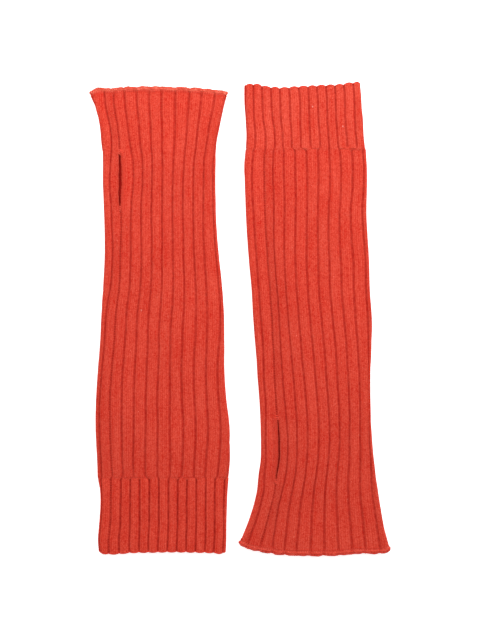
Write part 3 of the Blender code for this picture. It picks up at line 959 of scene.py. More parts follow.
class Fuzz:
    """The tree that grows short leaning fibres on what shows of a shell."""

    def __init__(self) -> None:
        """Build the tree."""
        self.tree, n, given, result = new_tree("Wool fuzz", "GeometryNodeTree", [
            ("Geometry", "Geometry", None),
            ("Density", "Float", 90000.0),
            ("Fibre length", "Float", 2.2 * MM),
            ("Fibre radius", "Float", 0.022 * MM),
            ("Lean", "Float", 1.15),
            ("Seed", "Int", 1),
            ("Material", "Material", None),
        ], [("Geometry", "Geometry")])
        normal = n.out("GeometryNodeInputNormal")
        parts = n.add("ShaderNodeSeparateXYZ", {0: normal})
        shows = n.math("GREATER_THAN", parts.outputs["Z"], -0.1)
        scatter = n.add("GeometryNodeDistributePointsOnFaces", {
            "Mesh": given["Geometry"], "Selection": shows, "Density": given["Density"], "Seed": given["Seed"],
        })
        fibre = n.out("GeometryNodeCurveQuadraticBezier", {
            "Resolution": 2, "Start": (0.0, 0.0, -0.1), "Middle": (0.02, 0.1, 0.5), "End": (0.42, 0.0, 0.8),
        })
        length, lean = given["Fibre length"], given["Lean"]
        sized = n.out("GeometryNodeTransform", {"Geometry": fibre, "Scale": n.point(length, length, length)})
        radius = given["Fibre radius"]
        profile = n.out("GeometryNodeCurvePrimitiveCircle", {"Resolution": 3, "Radius": radius})
        hair = n.out("GeometryNodeCurveToMesh", {"Curve": sized, "Profile Curve": profile})
        back = n.times(lean, -1.0)
        tilt = n.out("FunctionNodeRandomValue", {
            "Min": n.point(back, back, -pi), "Max": n.point(lean, lean, pi),
            "Seed": n.plus(given["Seed"], 3.0),
        }, data_type="FLOAT_VECTOR")
        turned = n.out("FunctionNodeRotateRotation", {
            "Rotation": scatter.outputs["Rotation"], "Rotate By": tilt,
        }, rotation_space="LOCAL")
        size = n.out("FunctionNodeRandomValue", {
            "Min": 0.45, "Max": 1.25, "Seed": given["Seed"],
        }, data_type="FLOAT")
        grown = n.out("GeometryNodeInstanceOnPoints", {
            "Points": scatter.outputs["Points"], "Instance": hair, "Rotation": turned, "Scale": size,
        })
        finish(n, result, grown, given["Material"])


# Finishes

class KnitShading:
    """The shader groups that every wool finish shares."""

    def __init__(self) -> None:
        """Build the groups."""
        self.relief = self.stitch_relief()
        self.melange = self.melange_colour()

    @staticmethod
    def stitch_relief() -> Tree:
        """The height of plain stitches: two slanted legs in each column and row of the knit.

        Returns:
            The group.
        """
        tree, n, given, result = new_tree("Stitch relief", "ShaderNodeTree", [
            ("Stitch", "Vector", (0.0, 0.0, 0.0)),
            ("Place", "Vector", (0.0, 0.0, 0.0)),
            ("Slant", "Float", 0.75),
            ("Fibres", "Float", 0.22),
        ], [("Height", "Float"), ("Chance", "Float"), ("Valley shade", "Float")])
        parts = n.add("ShaderNodeSeparateXYZ", {0: given["Stitch"]})
        column = n.plus(parts.outputs["X"], 0.5)
        across = n.math("ABSOLUTE", n.minus(n.math("FRACT", column), 0.5))
        across = n.times(across, 2.0)
        row = n.minus(parts.outputs["Y"], n.times(across, given["Slant"]))
        along = n.math("SINE", n.times(n.math("FRACT", row), pi))
        leg = n.math("SINE", n.times(across, pi))
        body = n.times(n.math("POWER", along, 0.7), n.math("POWER", leg, 0.6))
        strands = n.noise(given["Place"], 4200.0, 2.0)
        n.put(result.inputs["Height"], n.plus(body, n.times(strands, given["Fibres"])))
        # Where the columns of stitches meet, for the painted shade in the valleys between them
        n.put(result.inputs["Valley shade"], n.ramp(across, 0.45, 1.0))
        cell = n.point(n.math("FLOOR", column), n.math("FLOOR", row), 0.0)
        n.put(result.inputs["Chance"], n.out("ShaderNodeTexWhiteNoise", {"Vector": cell}, output="Value"))
        return tree

    @staticmethod
    def melange_colour() -> Tree:
        """Wool's mixed colour: soft patches, streaks along the columns, heather, a few pale flecks, and
        painted shade in the valleys between the columns.

        Returns:
            The group.
        """
        tree, n, given, result = new_tree("Melange colour", "ShaderNodeTree", [
            ("Place", "Vector", (0.0, 0.0, 0.0)),
            ("Stitch", "Vector", (0.0, 0.0, 0.0)),
            ("Chance", "Float", 0.5),
            ("Valley shade", "Float", 0.0),
            ("Light", "Color", (0.9, 0.1, 0.06, 1.0)),
            ("Dark", "Color", (0.4, 0.03, 0.02, 1.0)),
            ("Fleck", "Color", (1.0, 0.4, 0.3, 1.0)),
            ("Heather", "Color", (0.8, 0.15, 0.05, 1.0)),
            ("Seed", "Float", 0.0),
        ], [("Color", "Color")])
        long_way = n.vector("MULTIPLY", given["Stitch"], (0.9, 0.03, 0.0))
        shares = (
            (n.noise(given["Place"], 55.0, 2.0, given["Seed"]), 0.45),
            (n.noise(long_way, 1.0, 1.0, given["Seed"]), 0.85),
            (n.noise(given["Place"], 900.0, 1.0, given["Seed"]), 1.5),
            (n.noise(given["Place"], 2300.0, 2.0, given["Seed"]), 1.0),
            (given["Chance"], 0.35),
        )
        tone = 0.5
        for noise, share in shares:
            tone = n.plus(tone, n.times(n.minus(noise, 0.5), share))
        # Painted shade: darker in the valleys between the columns, a little lighter away from them
        tone = n.minus(tone, n.times(n.minus(given["Valley shade"], 0.3), 0.35))
        colour = n.mix(n.math("MAXIMUM", n.math("MINIMUM", tone, 1.0), 0.0), given["Dark"], given["Light"])
        heather = n.noise(given["Place"], 1500.0, 1.0, n.plus(given["Seed"], 9.0))
        colour = n.mix(n.ramp(heather, 0.52, 0.70, 0.0, 0.55), colour, given["Heather"])
        flecks = n.noise(given["Place"], 620.0, 1.0, n.plus(given["Seed"], 5.0))
        colour = n.mix(n.ramp(flecks, 0.70, 0.78, 0.0, 0.5), colour, given["Fleck"])
        n.put(result.inputs["Color"], colour)
        return tree


@dataclass(frozen=True)
class WoolFinish:
    """Soft red melange wool, knitted: its colours, the painted shade of its grooves, creases and slit, the
    depth of its stitches and its sheen.
    """

    name: str
    seed: float
    light: Colour = (0.812, 0.0905, 0.0525, 1.0)
    dark: Colour = (0.608, 0.0118, 0.0020, 1.0)
    fleck: Colour = (0.980, 0.300, 0.210, 1.0)
    heather: Colour = (0.740, 0.114, 0.083, 1.0)
    # Colour of the painted shade in the grooves, in the creases and between the stitches
    groove: Colour = (0.355, 0.0045, 0.0022, 1.0)
    # Colour of the painted shade inside the slit and on the hollow's wall
    deep: Colour = (0.520, 0.010, 0.006, 1.0)
    # How strongly painted shade darkens the grooves
    groove_share: float = 0.78
    stitch_depth: float = 0.42
    roughness: float = 0.92
    sheen: float = 0.06

    def material(self, shading: KnitShading) -> Material:
        """Make the material.

        Args:
            shading: The shader groups.

        Returns:
            The material, which reads the shell's Knit map and its groove attribute, the mask of its painted
            shade.
        """
        material, n, shader, place = new_material(self.name)
        stitch = n.out("ShaderNodeUVMap", uv_map="Knit")
        relief = n.add("ShaderNodeGroup", node_tree=shading.relief)
        n.put(relief.inputs["Stitch"], stitch)
        n.put(relief.inputs["Place"], place)
        melange = n.add("ShaderNodeGroup", node_tree=shading.melange)
        for name, value in (("Place", place), ("Stitch", stitch), ("Chance", relief.outputs["Chance"]),
                            ("Valley shade", relief.outputs["Valley shade"]),
                            ("Light", self.light), ("Dark", self.dark),
                            ("Fleck", self.fleck), ("Heather", self.heather), ("Seed", self.seed)):
            n.put(melange.inputs[name], value)
        groove = n.out("ShaderNodeAttribute", output="Fac", attribute_name="groove")
        # Painted shade in the grooves, in the creases and at the slit, broken up by noise and darkest between
        # the stitches
        broken = n.ramp(n.noise(place, 420.0, 1.0, self.seed), 0.3, 0.7, 0.55, 1.0)
        beaded = n.ramp(relief.outputs["Height"], 0.1, 1.0, 1.16, 0.8)
        shade = n.times(n.times(groove, n.times(broken, beaded)), self.groove_share)
        # Painted shade between the stitches, where their relief is low
        low = n.ramp(relief.outputs["Height"], 0.45, 0.0, 0.0, 0.3)
        colour = n.mix(low, melange.outputs["Color"], self.groove)
        colour = n.mix(n.math("MINIMUM", shade, 1.0), colour, self.groove)
        # Painted shade inside the slit and the hollow, where the groove attribute passes 1
        n.put(shader.inputs["Base Color"], n.mix(n.ramp(groove, 1.0, 1.45, 0.0, 0.85), colour, self.deep))
        bump = n.out("ShaderNodeBump", {
            "Height": relief.outputs["Height"], "Strength": 0.8, "Distance": self.stitch_depth * MM,
        })
        n.put(shader.inputs["Normal"], bump)
        dress(shader, self.roughness, self.sheen)
        return material


# The left cuff is a little deeper in colour, and the right one a little paler; the left cuff's grooves get
# more painted shade than the right one's.
CUFF_WOOLS = {
    Side.LEFT: WoolFinish("left cuff wool", seed=1.5, light=(0.864, 0.090, 0.051, 1.0),
                          dark=(0.620, 0.012, 0.002, 1.0), groove_share=1.0),
    Side.RIGHT: WoolFinish("right cuff wool", seed=2.5, light=(0.832, 0.103, 0.061, 1.0),
                           dark=(0.610, 0.016, 0.004, 1.0), groove_share=0.75),
}


@dataclass(frozen=True)
class YarnFinish:
    """The same wool as loose yarn, for stitches, chains and fuzz."""

    name: str
    base: Colour = (0.690, 0.056, 0.031, 1.0)
    light: Colour = (0.850, 0.110, 0.070, 1.0)
    dark: Colour = (0.520, 0.020, 0.009, 1.0)
    strength: float = 1.0
    paleness: float = 1.0
    patchiness: float = 0.0     # how much the tone changes from one patch of the yarn to the next
    patch_scale: float = 430.0
    twist_scale: float = 1800.0
    roughness: float = 0.94
    sheen: float = 0.06

    def paled(self, colour: Colour) -> Colour:
        """A colour at this yarn's strength and paleness."""
        red, green, blue, alpha = colour
        pale = self.strength * self.paleness
        return red * self.strength, green * pale, blue * pale, alpha

    def material(self) -> Material:
        """Make the material, whose strands follow Object coordinates."""
        material, n, shader, place = new_material(self.name)
        strands = n.noise(place, self.twist_scale, 2.0)
        base, light, dark = (self.paled(colour) for colour in (self.base, self.light, self.dark))
        patches = n.minus(n.noise(place, self.patch_scale, 1.0), 0.5)
        tone = n.plus(strands, n.times(patches, self.patchiness))
        colour = n.mix(n.ramp(tone, 0.5, 0.72, 0.0, 0.7), base, light)
        colour = n.mix(n.ramp(tone, 0.5, 0.3, 0.0, 0.6), colour, dark)
        n.put(shader.inputs["Base Color"], colour)
        n.put(shader.inputs["Normal"], n.out("ShaderNodeBump", {
            "Height": strands, "Strength": 0.6, "Distance": 0.15 * MM,
        }))
        dress(shader, self.roughness, self.sheen)
        return material


def dress(shader: Node, roughness: float, sheen: float) -> None:
    """Give a shader the plain values of wool: rough, hardly glossy, with a soft sheen.

    Args:
        shader: The shader node.
        roughness: Its roughness.
        sheen: The weight of its sheen.
    """
    shader.inputs["Roughness"].default_value = roughness
    shader.inputs["Metallic"].default_value = 0.0
    shader.inputs["Specular IOR Level"].default_value = 0.12
    shader.inputs["Sheen Weight"].default_value = sheen
    shader.inputs["Sheen Roughness"].default_value = 0.55
    shader.inputs["Sheen Tint"].default_value = (1.0, 0.50, 0.40, 1.0)


# Shells

class Shell:
    """Collects the grids of one closed wall and makes its mesh, with what the rib relief reads."""

    # shade is the strength of painted shade: in creases, along the slit's rolled edge, on its lips, at the
    # ends and in the hollow
    TRAITS = ("rib", "groove_share", "knit_share", "crease", "shade")

    def __init__(self) -> None:
        """Start with nothing."""
        self.points: list[Array] = []
        self.outward: list[Array] = []
        self.traits: dict[str, list[Array]] = {name: [] for name in self.TRAITS}
        self.count = 0
        self.faces: list[Array] = []
        self.knit: list[Array] = []

    def add_points(self, points: Array, outward: Array, **traits: Array | float) -> Array:
        """Add a grid of points.

        Args:
            points: Their places, of shape (rows, columns, 3), in millimetres.
            outward: The way out of the wall at each.
            traits: A value for each of TRAITS, as a grid or one number.

        Returns:
            Their indices, of shape (rows, columns).
        """
        shape = points.shape[:2]
        self.points.append(points.reshape(-1, 3))
        self.outward.append(np.broadcast_to(outward, points.shape).reshape(-1, 3))
        for name in self.TRAITS:
            self.traits[name].append(np.broadcast_to(traits[name], shape).ravel())
        ids = self.count + np.arange(shape[0] * shape[1]).reshape(shape)
        self.count += ids.size
        return ids

    def add_faces(self, ids: Array, knit: Array) -> None:
        """Fill a grid of points with faces, whose Knit map is a grid of (column, row) of stitches."""
        corners = ((slice(None, -1), slice(None, -1)), (slice(None, -1), slice(1, None)),
                   (slice(1, None), slice(1, None)), (slice(1, None), slice(None, -1)))
        self.faces.append(np.stack([ids[c].ravel() for c in corners], axis=1))
        self.knit.append(np.stack([knit[c].reshape(-1, 2) for c in corners], axis=1))

    def make(self, name: str) -> Piece:
        """Make the closed mesh and its object.

        Args:
            name: The object's name.

        Returns:
            The object.
        """
        points, faces = np.concatenate(self.points) * MM, np.concatenate(self.faces)
        used, compact = np.unique(faces, return_inverse=True)
        faces = compact.reshape(faces.shape)
        mesh = bpy.data.meshes.new(name)
        mesh.from_pydata(points[used].tolist(), [], faces.tolist())
        knit = mesh.uv_layers.new(name="Knit")
        knit.data.foreach_set("uv", np.concatenate(self.knit).astype(np.float32).ravel())
        for trait, grids in self.traits.items():
            values = np.concatenate(grids)[used].astype(np.float32)
            if trait == "crease":
                values = values * MM
            mesh.attributes.new(trait, "FLOAT", "POINT").data.foreach_set("value", values)
        outward = np.concatenate(self.outward)[used].astype(np.float32)
        mesh.attributes.new("outward", "FLOAT_VECTOR", "POINT").data.foreach_set("vector", outward.ravel())
        work = bmesh.new()
        work.from_mesh(mesh)
        bmesh.ops.recalc_face_normals(work, faces=work.faces)
        work.to_mesh(mesh)
        work.free()
        return add_object(name, mesh)


@dataclass(frozen=True)
class TubeEnd:
    """How one end of a shell is finished."""

    y: float
    inset: float            # how far the outside draws in at the very end
    rounding: float         # length over which it does
    scallop: float = 0.0    # how far the grooves stand back from the ribs' ends
    bulge: float = 0.0      # how far the wall's end swells out
    grooves: float = 1.0    # share of the grooves' depth at the very end
    fade: float = 0.1       # length over which that share comes about

    OFFSETS = (0.0, 0.12, 0.4, 0.8, 1.3, 2.0)

    def inset_at(self, y: Array) -> Array:
        """How far the outside is drawn in at y."""
        share = np.clip(np.abs(y - self.y) / self.rounding, 0.0, 1.0)
        return self.inset * (1.0 - np.sqrt(1.0 - (1.0 - share) ** 2))

    def groove_share(self, y: Array) -> Array:
        """Share of the grooves' depth at y."""
        return self.grooves + (1.0 - self.grooves) * smooth(np.abs(y - self.y) / self.fade)


@dataclass(frozen=True)
class ThumbSlit:
    """A slit along groove 0 through the upper layer, with one rolled selvedge."""

    top: float
    bottom: float
    width: float
    selvedge: int           # 1 where the rolled edge is right of the slit, -1 where it is left
    roll: float = 0.37      # width of the rolled edge, as a share of a rib
    roll_shade: float = 0.25  # how dark the line beyond it is

    def half_width(self, y: Array) -> Array:
        """Half the slit's width at y."""
        share = np.clip((y - self.bottom) / (self.top - self.bottom), 0.0, 1.0)
        ragged = 1.0 + 0.10 * np.sin(y * 0.83) + 0.07 * np.sin(y * 2.1 + 1.0)
        return self.width / 2 * np.sin(pi * share) ** 0.33 * ragged

    def nearness(self, y: Array, reach: float) -> Array:
        """1 beside the slit, falling to 0 that far past its ends."""
        past = np.maximum(y - self.top, self.bottom - y)
        return smooth(1.0 - past / reach)


@dataclass
class KnitShell:
    """One stretch's closed knitted wall: outside, hollow, both ends and, on a sleeve, the thumb slit."""

    name: str
    stretch: Stretch
    low: TubeEnd
    high: TubeEnd
    row_step: float
    slit: ThumbSlit | None = None
    new_grooves: tuple[int, ...] = ()        # grooves that begin at the join
    arches: tuple[tuple[int, int], ...] = ()  # pairs of grooves with an arched crease between at the join
    inner_step: float = 24.0
    groove_reach: float = GROOVE_REACH

    LIP_POINTS = 3

    def columns(self) -> Array:
        """Rib numbers of the grid's columns, once round from groove 0, denser at the grooves."""
        wales = self.stretch.wales
        shoulder = [0.0, 0.28, 0.55, 0.9]
        middle = list(np.arange(1.5, wales - 1.2, 0.5))
        rib = np.array(shoulder + middle + [wales - 0.9, wales - 0.55, wales - 0.28]) / wales
        return np.append((np.arange(self.stretch.ribs)[:, None] + rib).ravel(), float(self.stretch.ribs))

    def rows(self) -> Array:
        """Places of the grid's rows, from the low end to the high one, denser at both."""
        low, high = self.low.y, self.high.y
        near = TubeEnd.OFFSETS if high - low > 10 else TubeEnd.OFFSETS[:4]
        start, stop = low + near[-1], high - near[-1]
        count = max(2, round((stop - start) / self.row_step))
        steady = np.linspace(start, stop, count + 1)
        return np.concatenate([low + np.array(near[:-1]), steady, high - np.array(near[-2::-1])])

    def build(self, relief: RibRelief, material: Material, seed: float) -> Piece:
        """Make the wall and press its ribs.

        Args:
            relief: The rib relief.
            material: The wool.
            seed: Seed of its small unevenness.

        Returns:
            The piece.
        """
        numbers, rows = self.columns(), self.rows()
        shell = Shell()
        outer = self.add_outside(shell, numbers, rows)
        inner_rows = self.inner_rows(rows)
        inner = self.add_hollow(shell, numbers, rows[inner_rows])
        self.close_ends(shell, numbers, rows, outer, inner)
        if self.slit:
            self.line_slit(shell, rows, outer, inner, inner_rows)
        piece = shell.make(self.name)
        return apply_tree(piece, relief.tree, {
            "Wales a rib": float(self.stretch.wales), "Groove reach": self.groove_reach, "Seed": seed,
            "Material": material,
        })

    def slit_rows(self, rows: Array) -> Array:
        """Which rows the slit parts."""
        if not self.slit:
            return np.zeros(len(rows), bool)
        return (rows > self.slit.bottom) & (rows < self.slit.top)

    def weld(self, ids: Array, rows: Array) -> Array:
        """Close a grid round the tube, but where the slit parts it."""
        ids = ids.copy()
        whole = ~self.slit_rows(rows)
        ids[whole, -1] = ids[whole, 0]
        return ids

    def spread(self, points: Array, numbers: Array, rows: Array) -> None:
        """Part a grid's columns at the slit, most at its lips."""
        if not self.slit:
            return
        half = self.slit.half_width(rows)[:, None] * self.slit_rows(rows)[:, None]
        right = np.clip(1.0 - numbers / 0.5, 0.0, None) ** 1.5
        left = np.clip(1.0 - (self.stretch.ribs - numbers) / 0.5, 0.0, None) ** 1.5
        points[..., 0] += half * (right - left)

    def knit_map(self, numbers: Array, rows: Array) -> Array:
        """The (column, row) of stitches at each point of a grid."""
        column, row = np.meshgrid(numbers * self.stretch.wales, np.asarray(rows) / ROW_HEIGHT)
        return np.stack([column, row], axis=-1)

    def add_outside(self, shell: Shell, numbers: Array, rows: Array) -> Array:
        """Add the outside with all that the relief reads, and return its indices.

        Args:
            shell: The wall that is being made.
            numbers: Rib numbers.
            rows: Places of the rows along Y.

        Returns:
            Their indices.
        """
        points, outward = self.stretch.outside(numbers, rows)
        y = np.repeat(rows[:, None], len(numbers), axis=1)
        self.draw_back(points, numbers, outward, y)
        below = underneath(outward)
        grooves = self.low.groove_share(y) * self.high.groove_share(y) * (1 - below * (1 - UNDERSIDE_GROOVES))
        grooves *= self.begun(numbers, y)
        knit = 1.0 - 0.45 * below
        arch = self.arch_mask(numbers, y)
        crease = self.low.inset_at(y) + self.high.inset_at(y) + 0.85 * arch
        crease = crease - FOLD_SWELL * outward[..., 0] ** 2
        # Painted shade along the arched creases at the join
        shade = arch.copy()
        grooves *= self.join_grooves(numbers, y)
        if self.slit:
            beside = self.slit.nearness(y, 5.0)
            signed = np.where(numbers > self.stretch.ribs / 2, numbers - self.stretch.ribs, numbers)
            lip = smooth(1.0 - np.abs(signed) / 0.13)
            grooves = grooves * (1.0 - beside * smooth(1.0 - np.abs(signed) / 0.3) * self.parted(y))
            crease = crease + beside * self.parted(y) * lip * 0.55
            off = (signed * self.slit.selvedge - self.slit.roll) * self.stretch.wales
            line = self.slit.nearness(y, 7.0) * np.exp(-((off / 0.42) ** 2))
            crease = crease + 0.45 * line
            # Painted shade along the line past the rolled edge
            shade = shade + self.slit.roll_shade * line
            mound = smooth(1.0 - np.abs(off + self.slit.roll * self.stretch.wales / 2) / 1.4)
            crease = crease - beside * 0.3 * mound
        self.spread(points, numbers, rows)
        ids = shell.add_points(points, outward, rib=numbers, groove_share=grooves, knit_share=knit,
                               crease=crease, shade=shade)
        ids = self.weld(ids, rows)
        shell.add_faces(ids, self.knit_map(numbers, rows))
        return ids

    def draw_back(self, points: Array, numbers: Array, outward: Array, y: Array | float) -> None:
        """Draw both ends back between the ribs and underneath.

        Args:
            points: The grid's points, which are moved.
            numbers: Rib numbers.
            outward: The way out of the wall at each.
            y: Places along Y.
        """
        back = set_back(numbers, outward)
        for end, way in ((self.low, -1.0), (self.high, 1.0)):
            points[..., 1] -= way * end.scallop * back * closeness(y, end.y, BUMP_REACH)

    def parted(self, y: Array) -> Array:
        """1 where the slit is open, easing to 0 at its ends."""
        return np.clip(self.slit.half_width(y) / (0.35 * self.slit.width), 0.0, 1.0)

    def begun(self, numbers: Array, y: Array) -> Array:
        """Share of the depth of grooves that only begin at the join.

        Args:
            numbers: Rib numbers.
            y: Places along Y.

        Returns:
            The share at each point.
        """
        share = np.ones_like(y)
        for groove in self.new_grooves:
            own = np.abs(wrapped(numbers - groove, self.stretch.ribs)) < 0.4
            started = smooth((np.abs(y - self.stretch.join_y) - 0.3) / 2.0)
            share = np.where(own, started, share)
        return share

    def join_grooves(self, numbers: Array, y: Array) -> Array:
        """Share of the grooves' depth at the join, less where a groove swerves more."""
        near = closeness(y, self.stretch.join_y, 1.6)
        nearest = np.round(numbers).astype(int)
        swerves = np.array([abs(self.stretch.join_shifts.get(self.stretch.local(k), 0.0)) for k in nearest])
        return 1.0 - near * np.clip(swerves * 0.42, 0.0, 0.72)

    def arch_mask(self, numbers: Array, y: Array) -> Array:
        """1 along the creases that arch over each pair of new ribs at the join, 0 away from them.

        Args:
            numbers: Rib numbers.
            y: Places along Y.

        Returns:
            How strong the creases are at each point.
        """
        total = np.zeros_like(y)
        for first, last in self.arches:
            share = ((numbers - first) % self.stretch.ribs) / (last - first)
            across = smooth(share / 0.08) * smooth((1.0 - share) / 0.08)
            kink = np.exp(-((np.minimum(share, 1.0 - share) / 0.16) ** 2))
            off = np.abs(y - self.stretch.join_y) / 0.6
            total += across * (0.22 + 0.45 * kink) * np.exp(-(off ** 2))
        return total

    def inner_rows(self, rows: Array) -> Array:
        """Which rows the hollow's wall has: few, but all those at the slit.

        Args:
            rows: Places of the rows along Y.

        Returns:
            The chosen rows' places in the grid.
        """
        chosen = {0, len(rows) - 1}
        parted = np.flatnonzero(self.slit_rows(rows))
        if len(parted):
            chosen |= set(range(parted[0] - 1, parted[-1] + 2))
        last = rows[0]
        for i, y in enumerate(rows):
            if y - last >= self.inner_step:
                chosen.add(i)
                last = y
        return np.array(sorted(chosen))

    def add_hollow(self, shell: Shell, numbers: Array, rows: Array) -> Array:
        """Add the hollow's wall and return its indices.

        Args:
            shell: The wall that is being made.
            numbers: Rib numbers.
            rows: Places of the rows along Y.

        Returns:
            Their indices.
        """
        points = self.stretch.hollow(numbers, rows)
        self.draw_back(points, numbers, self.stretch.outside(numbers, rows)[1], rows[:, None])
        self.spread(points, numbers, rows)
        # The hollow's wall gets the darkest painted shade, seen through the slit
        ids = shell.add_points(points, np.zeros(3), rib=numbers, groove_share=0.0, knit_share=0.0, crease=0.0,
                               shade=1.5)
        ids = self.weld(ids, rows)
        shell.add_faces(ids, self.knit_map(numbers, rows))
        return ids

    def close_ends(self, shell: Shell, numbers: Array, rows: Array, outer: Array, inner: Array) -> None:
        """Close the wall at both ends with a soft swell between the outside and the hollow.

        Args:
            shell: The wall that is being made.
            numbers: Rib numbers.
            rows: Places of the rows along Y.
            outer: Indices of the outside's points.
            inner: Indices of the hollow's points.
        """
        for end, k, way in ((self.low, 0, -1.0), (self.high, -1, 1.0)):
            rim, outward = self.stretch.outside(numbers, rows[[k]])
            bore = self.stretch.hollow(numbers, rows[[k]])
            for loop in (rim, bore):
                self.draw_back(loop, numbers, outward, rows[k])
            below = underneath(outward)
            grooves = end.grooves * (1 - below * (1 - UNDERSIDE_GROOVES))
            loops = [outer[[k]]]
            for share in (0.3, 0.65):
                middle = rim * (1 - share) + bore * share
                middle[..., 1] += way * end.bulge * np.sin(pi * share)
                # Painted shade grows from the outside toward the hollow
                ids = shell.add_points(
                    middle, outward * (1 - share), rib=numbers, groove_share=grooves * (1 - share),
                    knit_share=0.3,
                    crease=(end.inset * 0.6 - FOLD_SWELL * outward[..., 0] ** 2) * (1 - share),
                    shade=share ** 2,
                )
                ids[:, -1] = ids[:, 0]
                loops.append(ids)
            loops.append(inner[[k]])
            steps = np.array([0.0, 0.7, 1.4, 2.0]) * way
            shell.add_faces(np.concatenate(loops), self.knit_map(numbers, rows[k] + steps))

    def line_slit(self, shell: Shell, rows: Array, outer: Array, inner: Array, inner_rows: Array) -> None:
        """Line both lips of the slit from the outside down to the hollow.

        Args:
            shell: The wall that is being made.
            rows: Places of the rows along Y.
            outer: Indices of the outside's points.
            inner: Indices of the hollow's points.
            inner_rows: Which rows the hollow has.
        """
        parted = np.flatnonzero(self.slit_rows(rows))
        span = np.arange(parted[0] - 1, parted[-1] + 2)
        at_inner = np.searchsorted(inner_rows, span)
        tips = None
        for column, way in ((0, -1.0), (-1, 1.0)):
            edge = self.stretch.outside(np.array([0.0]), rows[span])[0]
            bore = self.stretch.hollow(np.array([0.0]), rows[span])
            half = self.slit.half_width(rows[span]) * self.slit_rows(rows)[span]
            shares = np.linspace(0.0, 1.0, self.LIP_POINTS + 2)[1:-1]
            middle = edge * (1 - shares)[None, :, None] + bore * shares[None, :, None]
            middle[..., 0] -= way * half[:, None]
            middle[..., 0] += way * 0.28 * np.sin(pi * shares) * (half > 0)[:, None]
            press = np.where(half > 0, 0.55, GROOVE_DEPTH)[:, None] * (1 - shares)
            # Painted shade on the lips, darker toward the hollow
            ids = shell.add_points(
                middle, np.array([0.0, 0.0, 1.0]), rib=0.0, groove_share=0.0, knit_share=0.0, crease=press,
                shade=np.broadcast_to(0.3 + 1.2 * shares, middle.shape[:2]),
            )
            if tips is None:
                tips = ids[[0, -1]]
            else:
                ids[[0, -1]] = tips
            far = inner[at_inner, column][:, None]
            grid = np.concatenate([outer[span, column][:, None], ids, far], axis=1)
            across = np.linspace(0.0, 1.5, grid.shape[1])
            column_map, row_map = np.meshgrid(across, rows[span] / ROW_HEIGHT)
            shell.add_faces(grid, np.stack([column_map, row_map], axis=-1))


def path_piece(name: str, points: Array, up: Array, closed: bool) -> Piece:
    """An object whose mesh is one line of points, for stitches to follow.

    Args:
        name: The object's name.
        points: The line's points, in millimetres.
        up: The way out of the cloth at each point.
        closed: Whether the line closes on itself.

    Returns:
        The object.
    """
    count = len(points)
    edges = [(i, i + 1) for i in range(count - 1)] + ([(count - 1, 0)] if closed else [])
    mesh = bpy.data.meshes.new(name)
    mesh.from_pydata((points * MM).tolist(), edges, [])
    ways = mesh.attributes.new("up", "FLOAT_VECTOR", "POINT")
    ways.data.foreach_set("vector", up.astype(np.float32).ravel())
    return add_object(name, mesh)


# The warmers

@dataclass
class Workshop:
    """The trees and finishes that both warmers share."""

    shading: KnitShading = field(default_factory=KnitShading)
    relief: RibRelief = field(default_factory=RibRelief)
    fuzz: Fuzz = field(default_factory=Fuzz)
    runs: dict[Stitch, StitchRun] = field(
        default_factory=lambda: {shape: StitchRun(shape) for shape in Stitch},
    )

    def __post_init__(self) -> None:
        """Make the yarns."""
        self.yarn = YarnFinish("Red sewing yarn").material()
        pale = YarnFinish(
            "Red cast-off yarn", base=(0.80, 0.090, 0.054, 1.0), light=(0.94, 0.175, 0.120, 1.0),
            dark=(0.62, 0.038, 0.019, 1.0), patchiness=1.3,
        )
        self.edge_yarn = {
            Side.LEFT: replace(pale, name="left cast-off yarn", strength=0.98, paleness=1.34).material(),
            Side.RIGHT: replace(pale, name="right cast-off yarn", strength=0.83, paleness=0.78).material(),
        }
        self.tie_yarn = replace(
            pale, name="Red tie yarn", strength=0.96, paleness=0.84, patchiness=0.0,
        ).material()
        self.slub_yarn = YarnFinish(
            "Pale slub", base=(0.86, 0.37, 0.30, 1.0), light=(0.94, 0.60, 0.52, 1.0),
            dark=(0.80, 0.22, 0.16, 1.0),
        ).material()
        self.fibre = YarnFinish(
            "Red wool fibre", base=(0.80, 0.10, 0.06, 1.0), light=(0.95, 0.21, 0.145, 1.0),
        ).material()


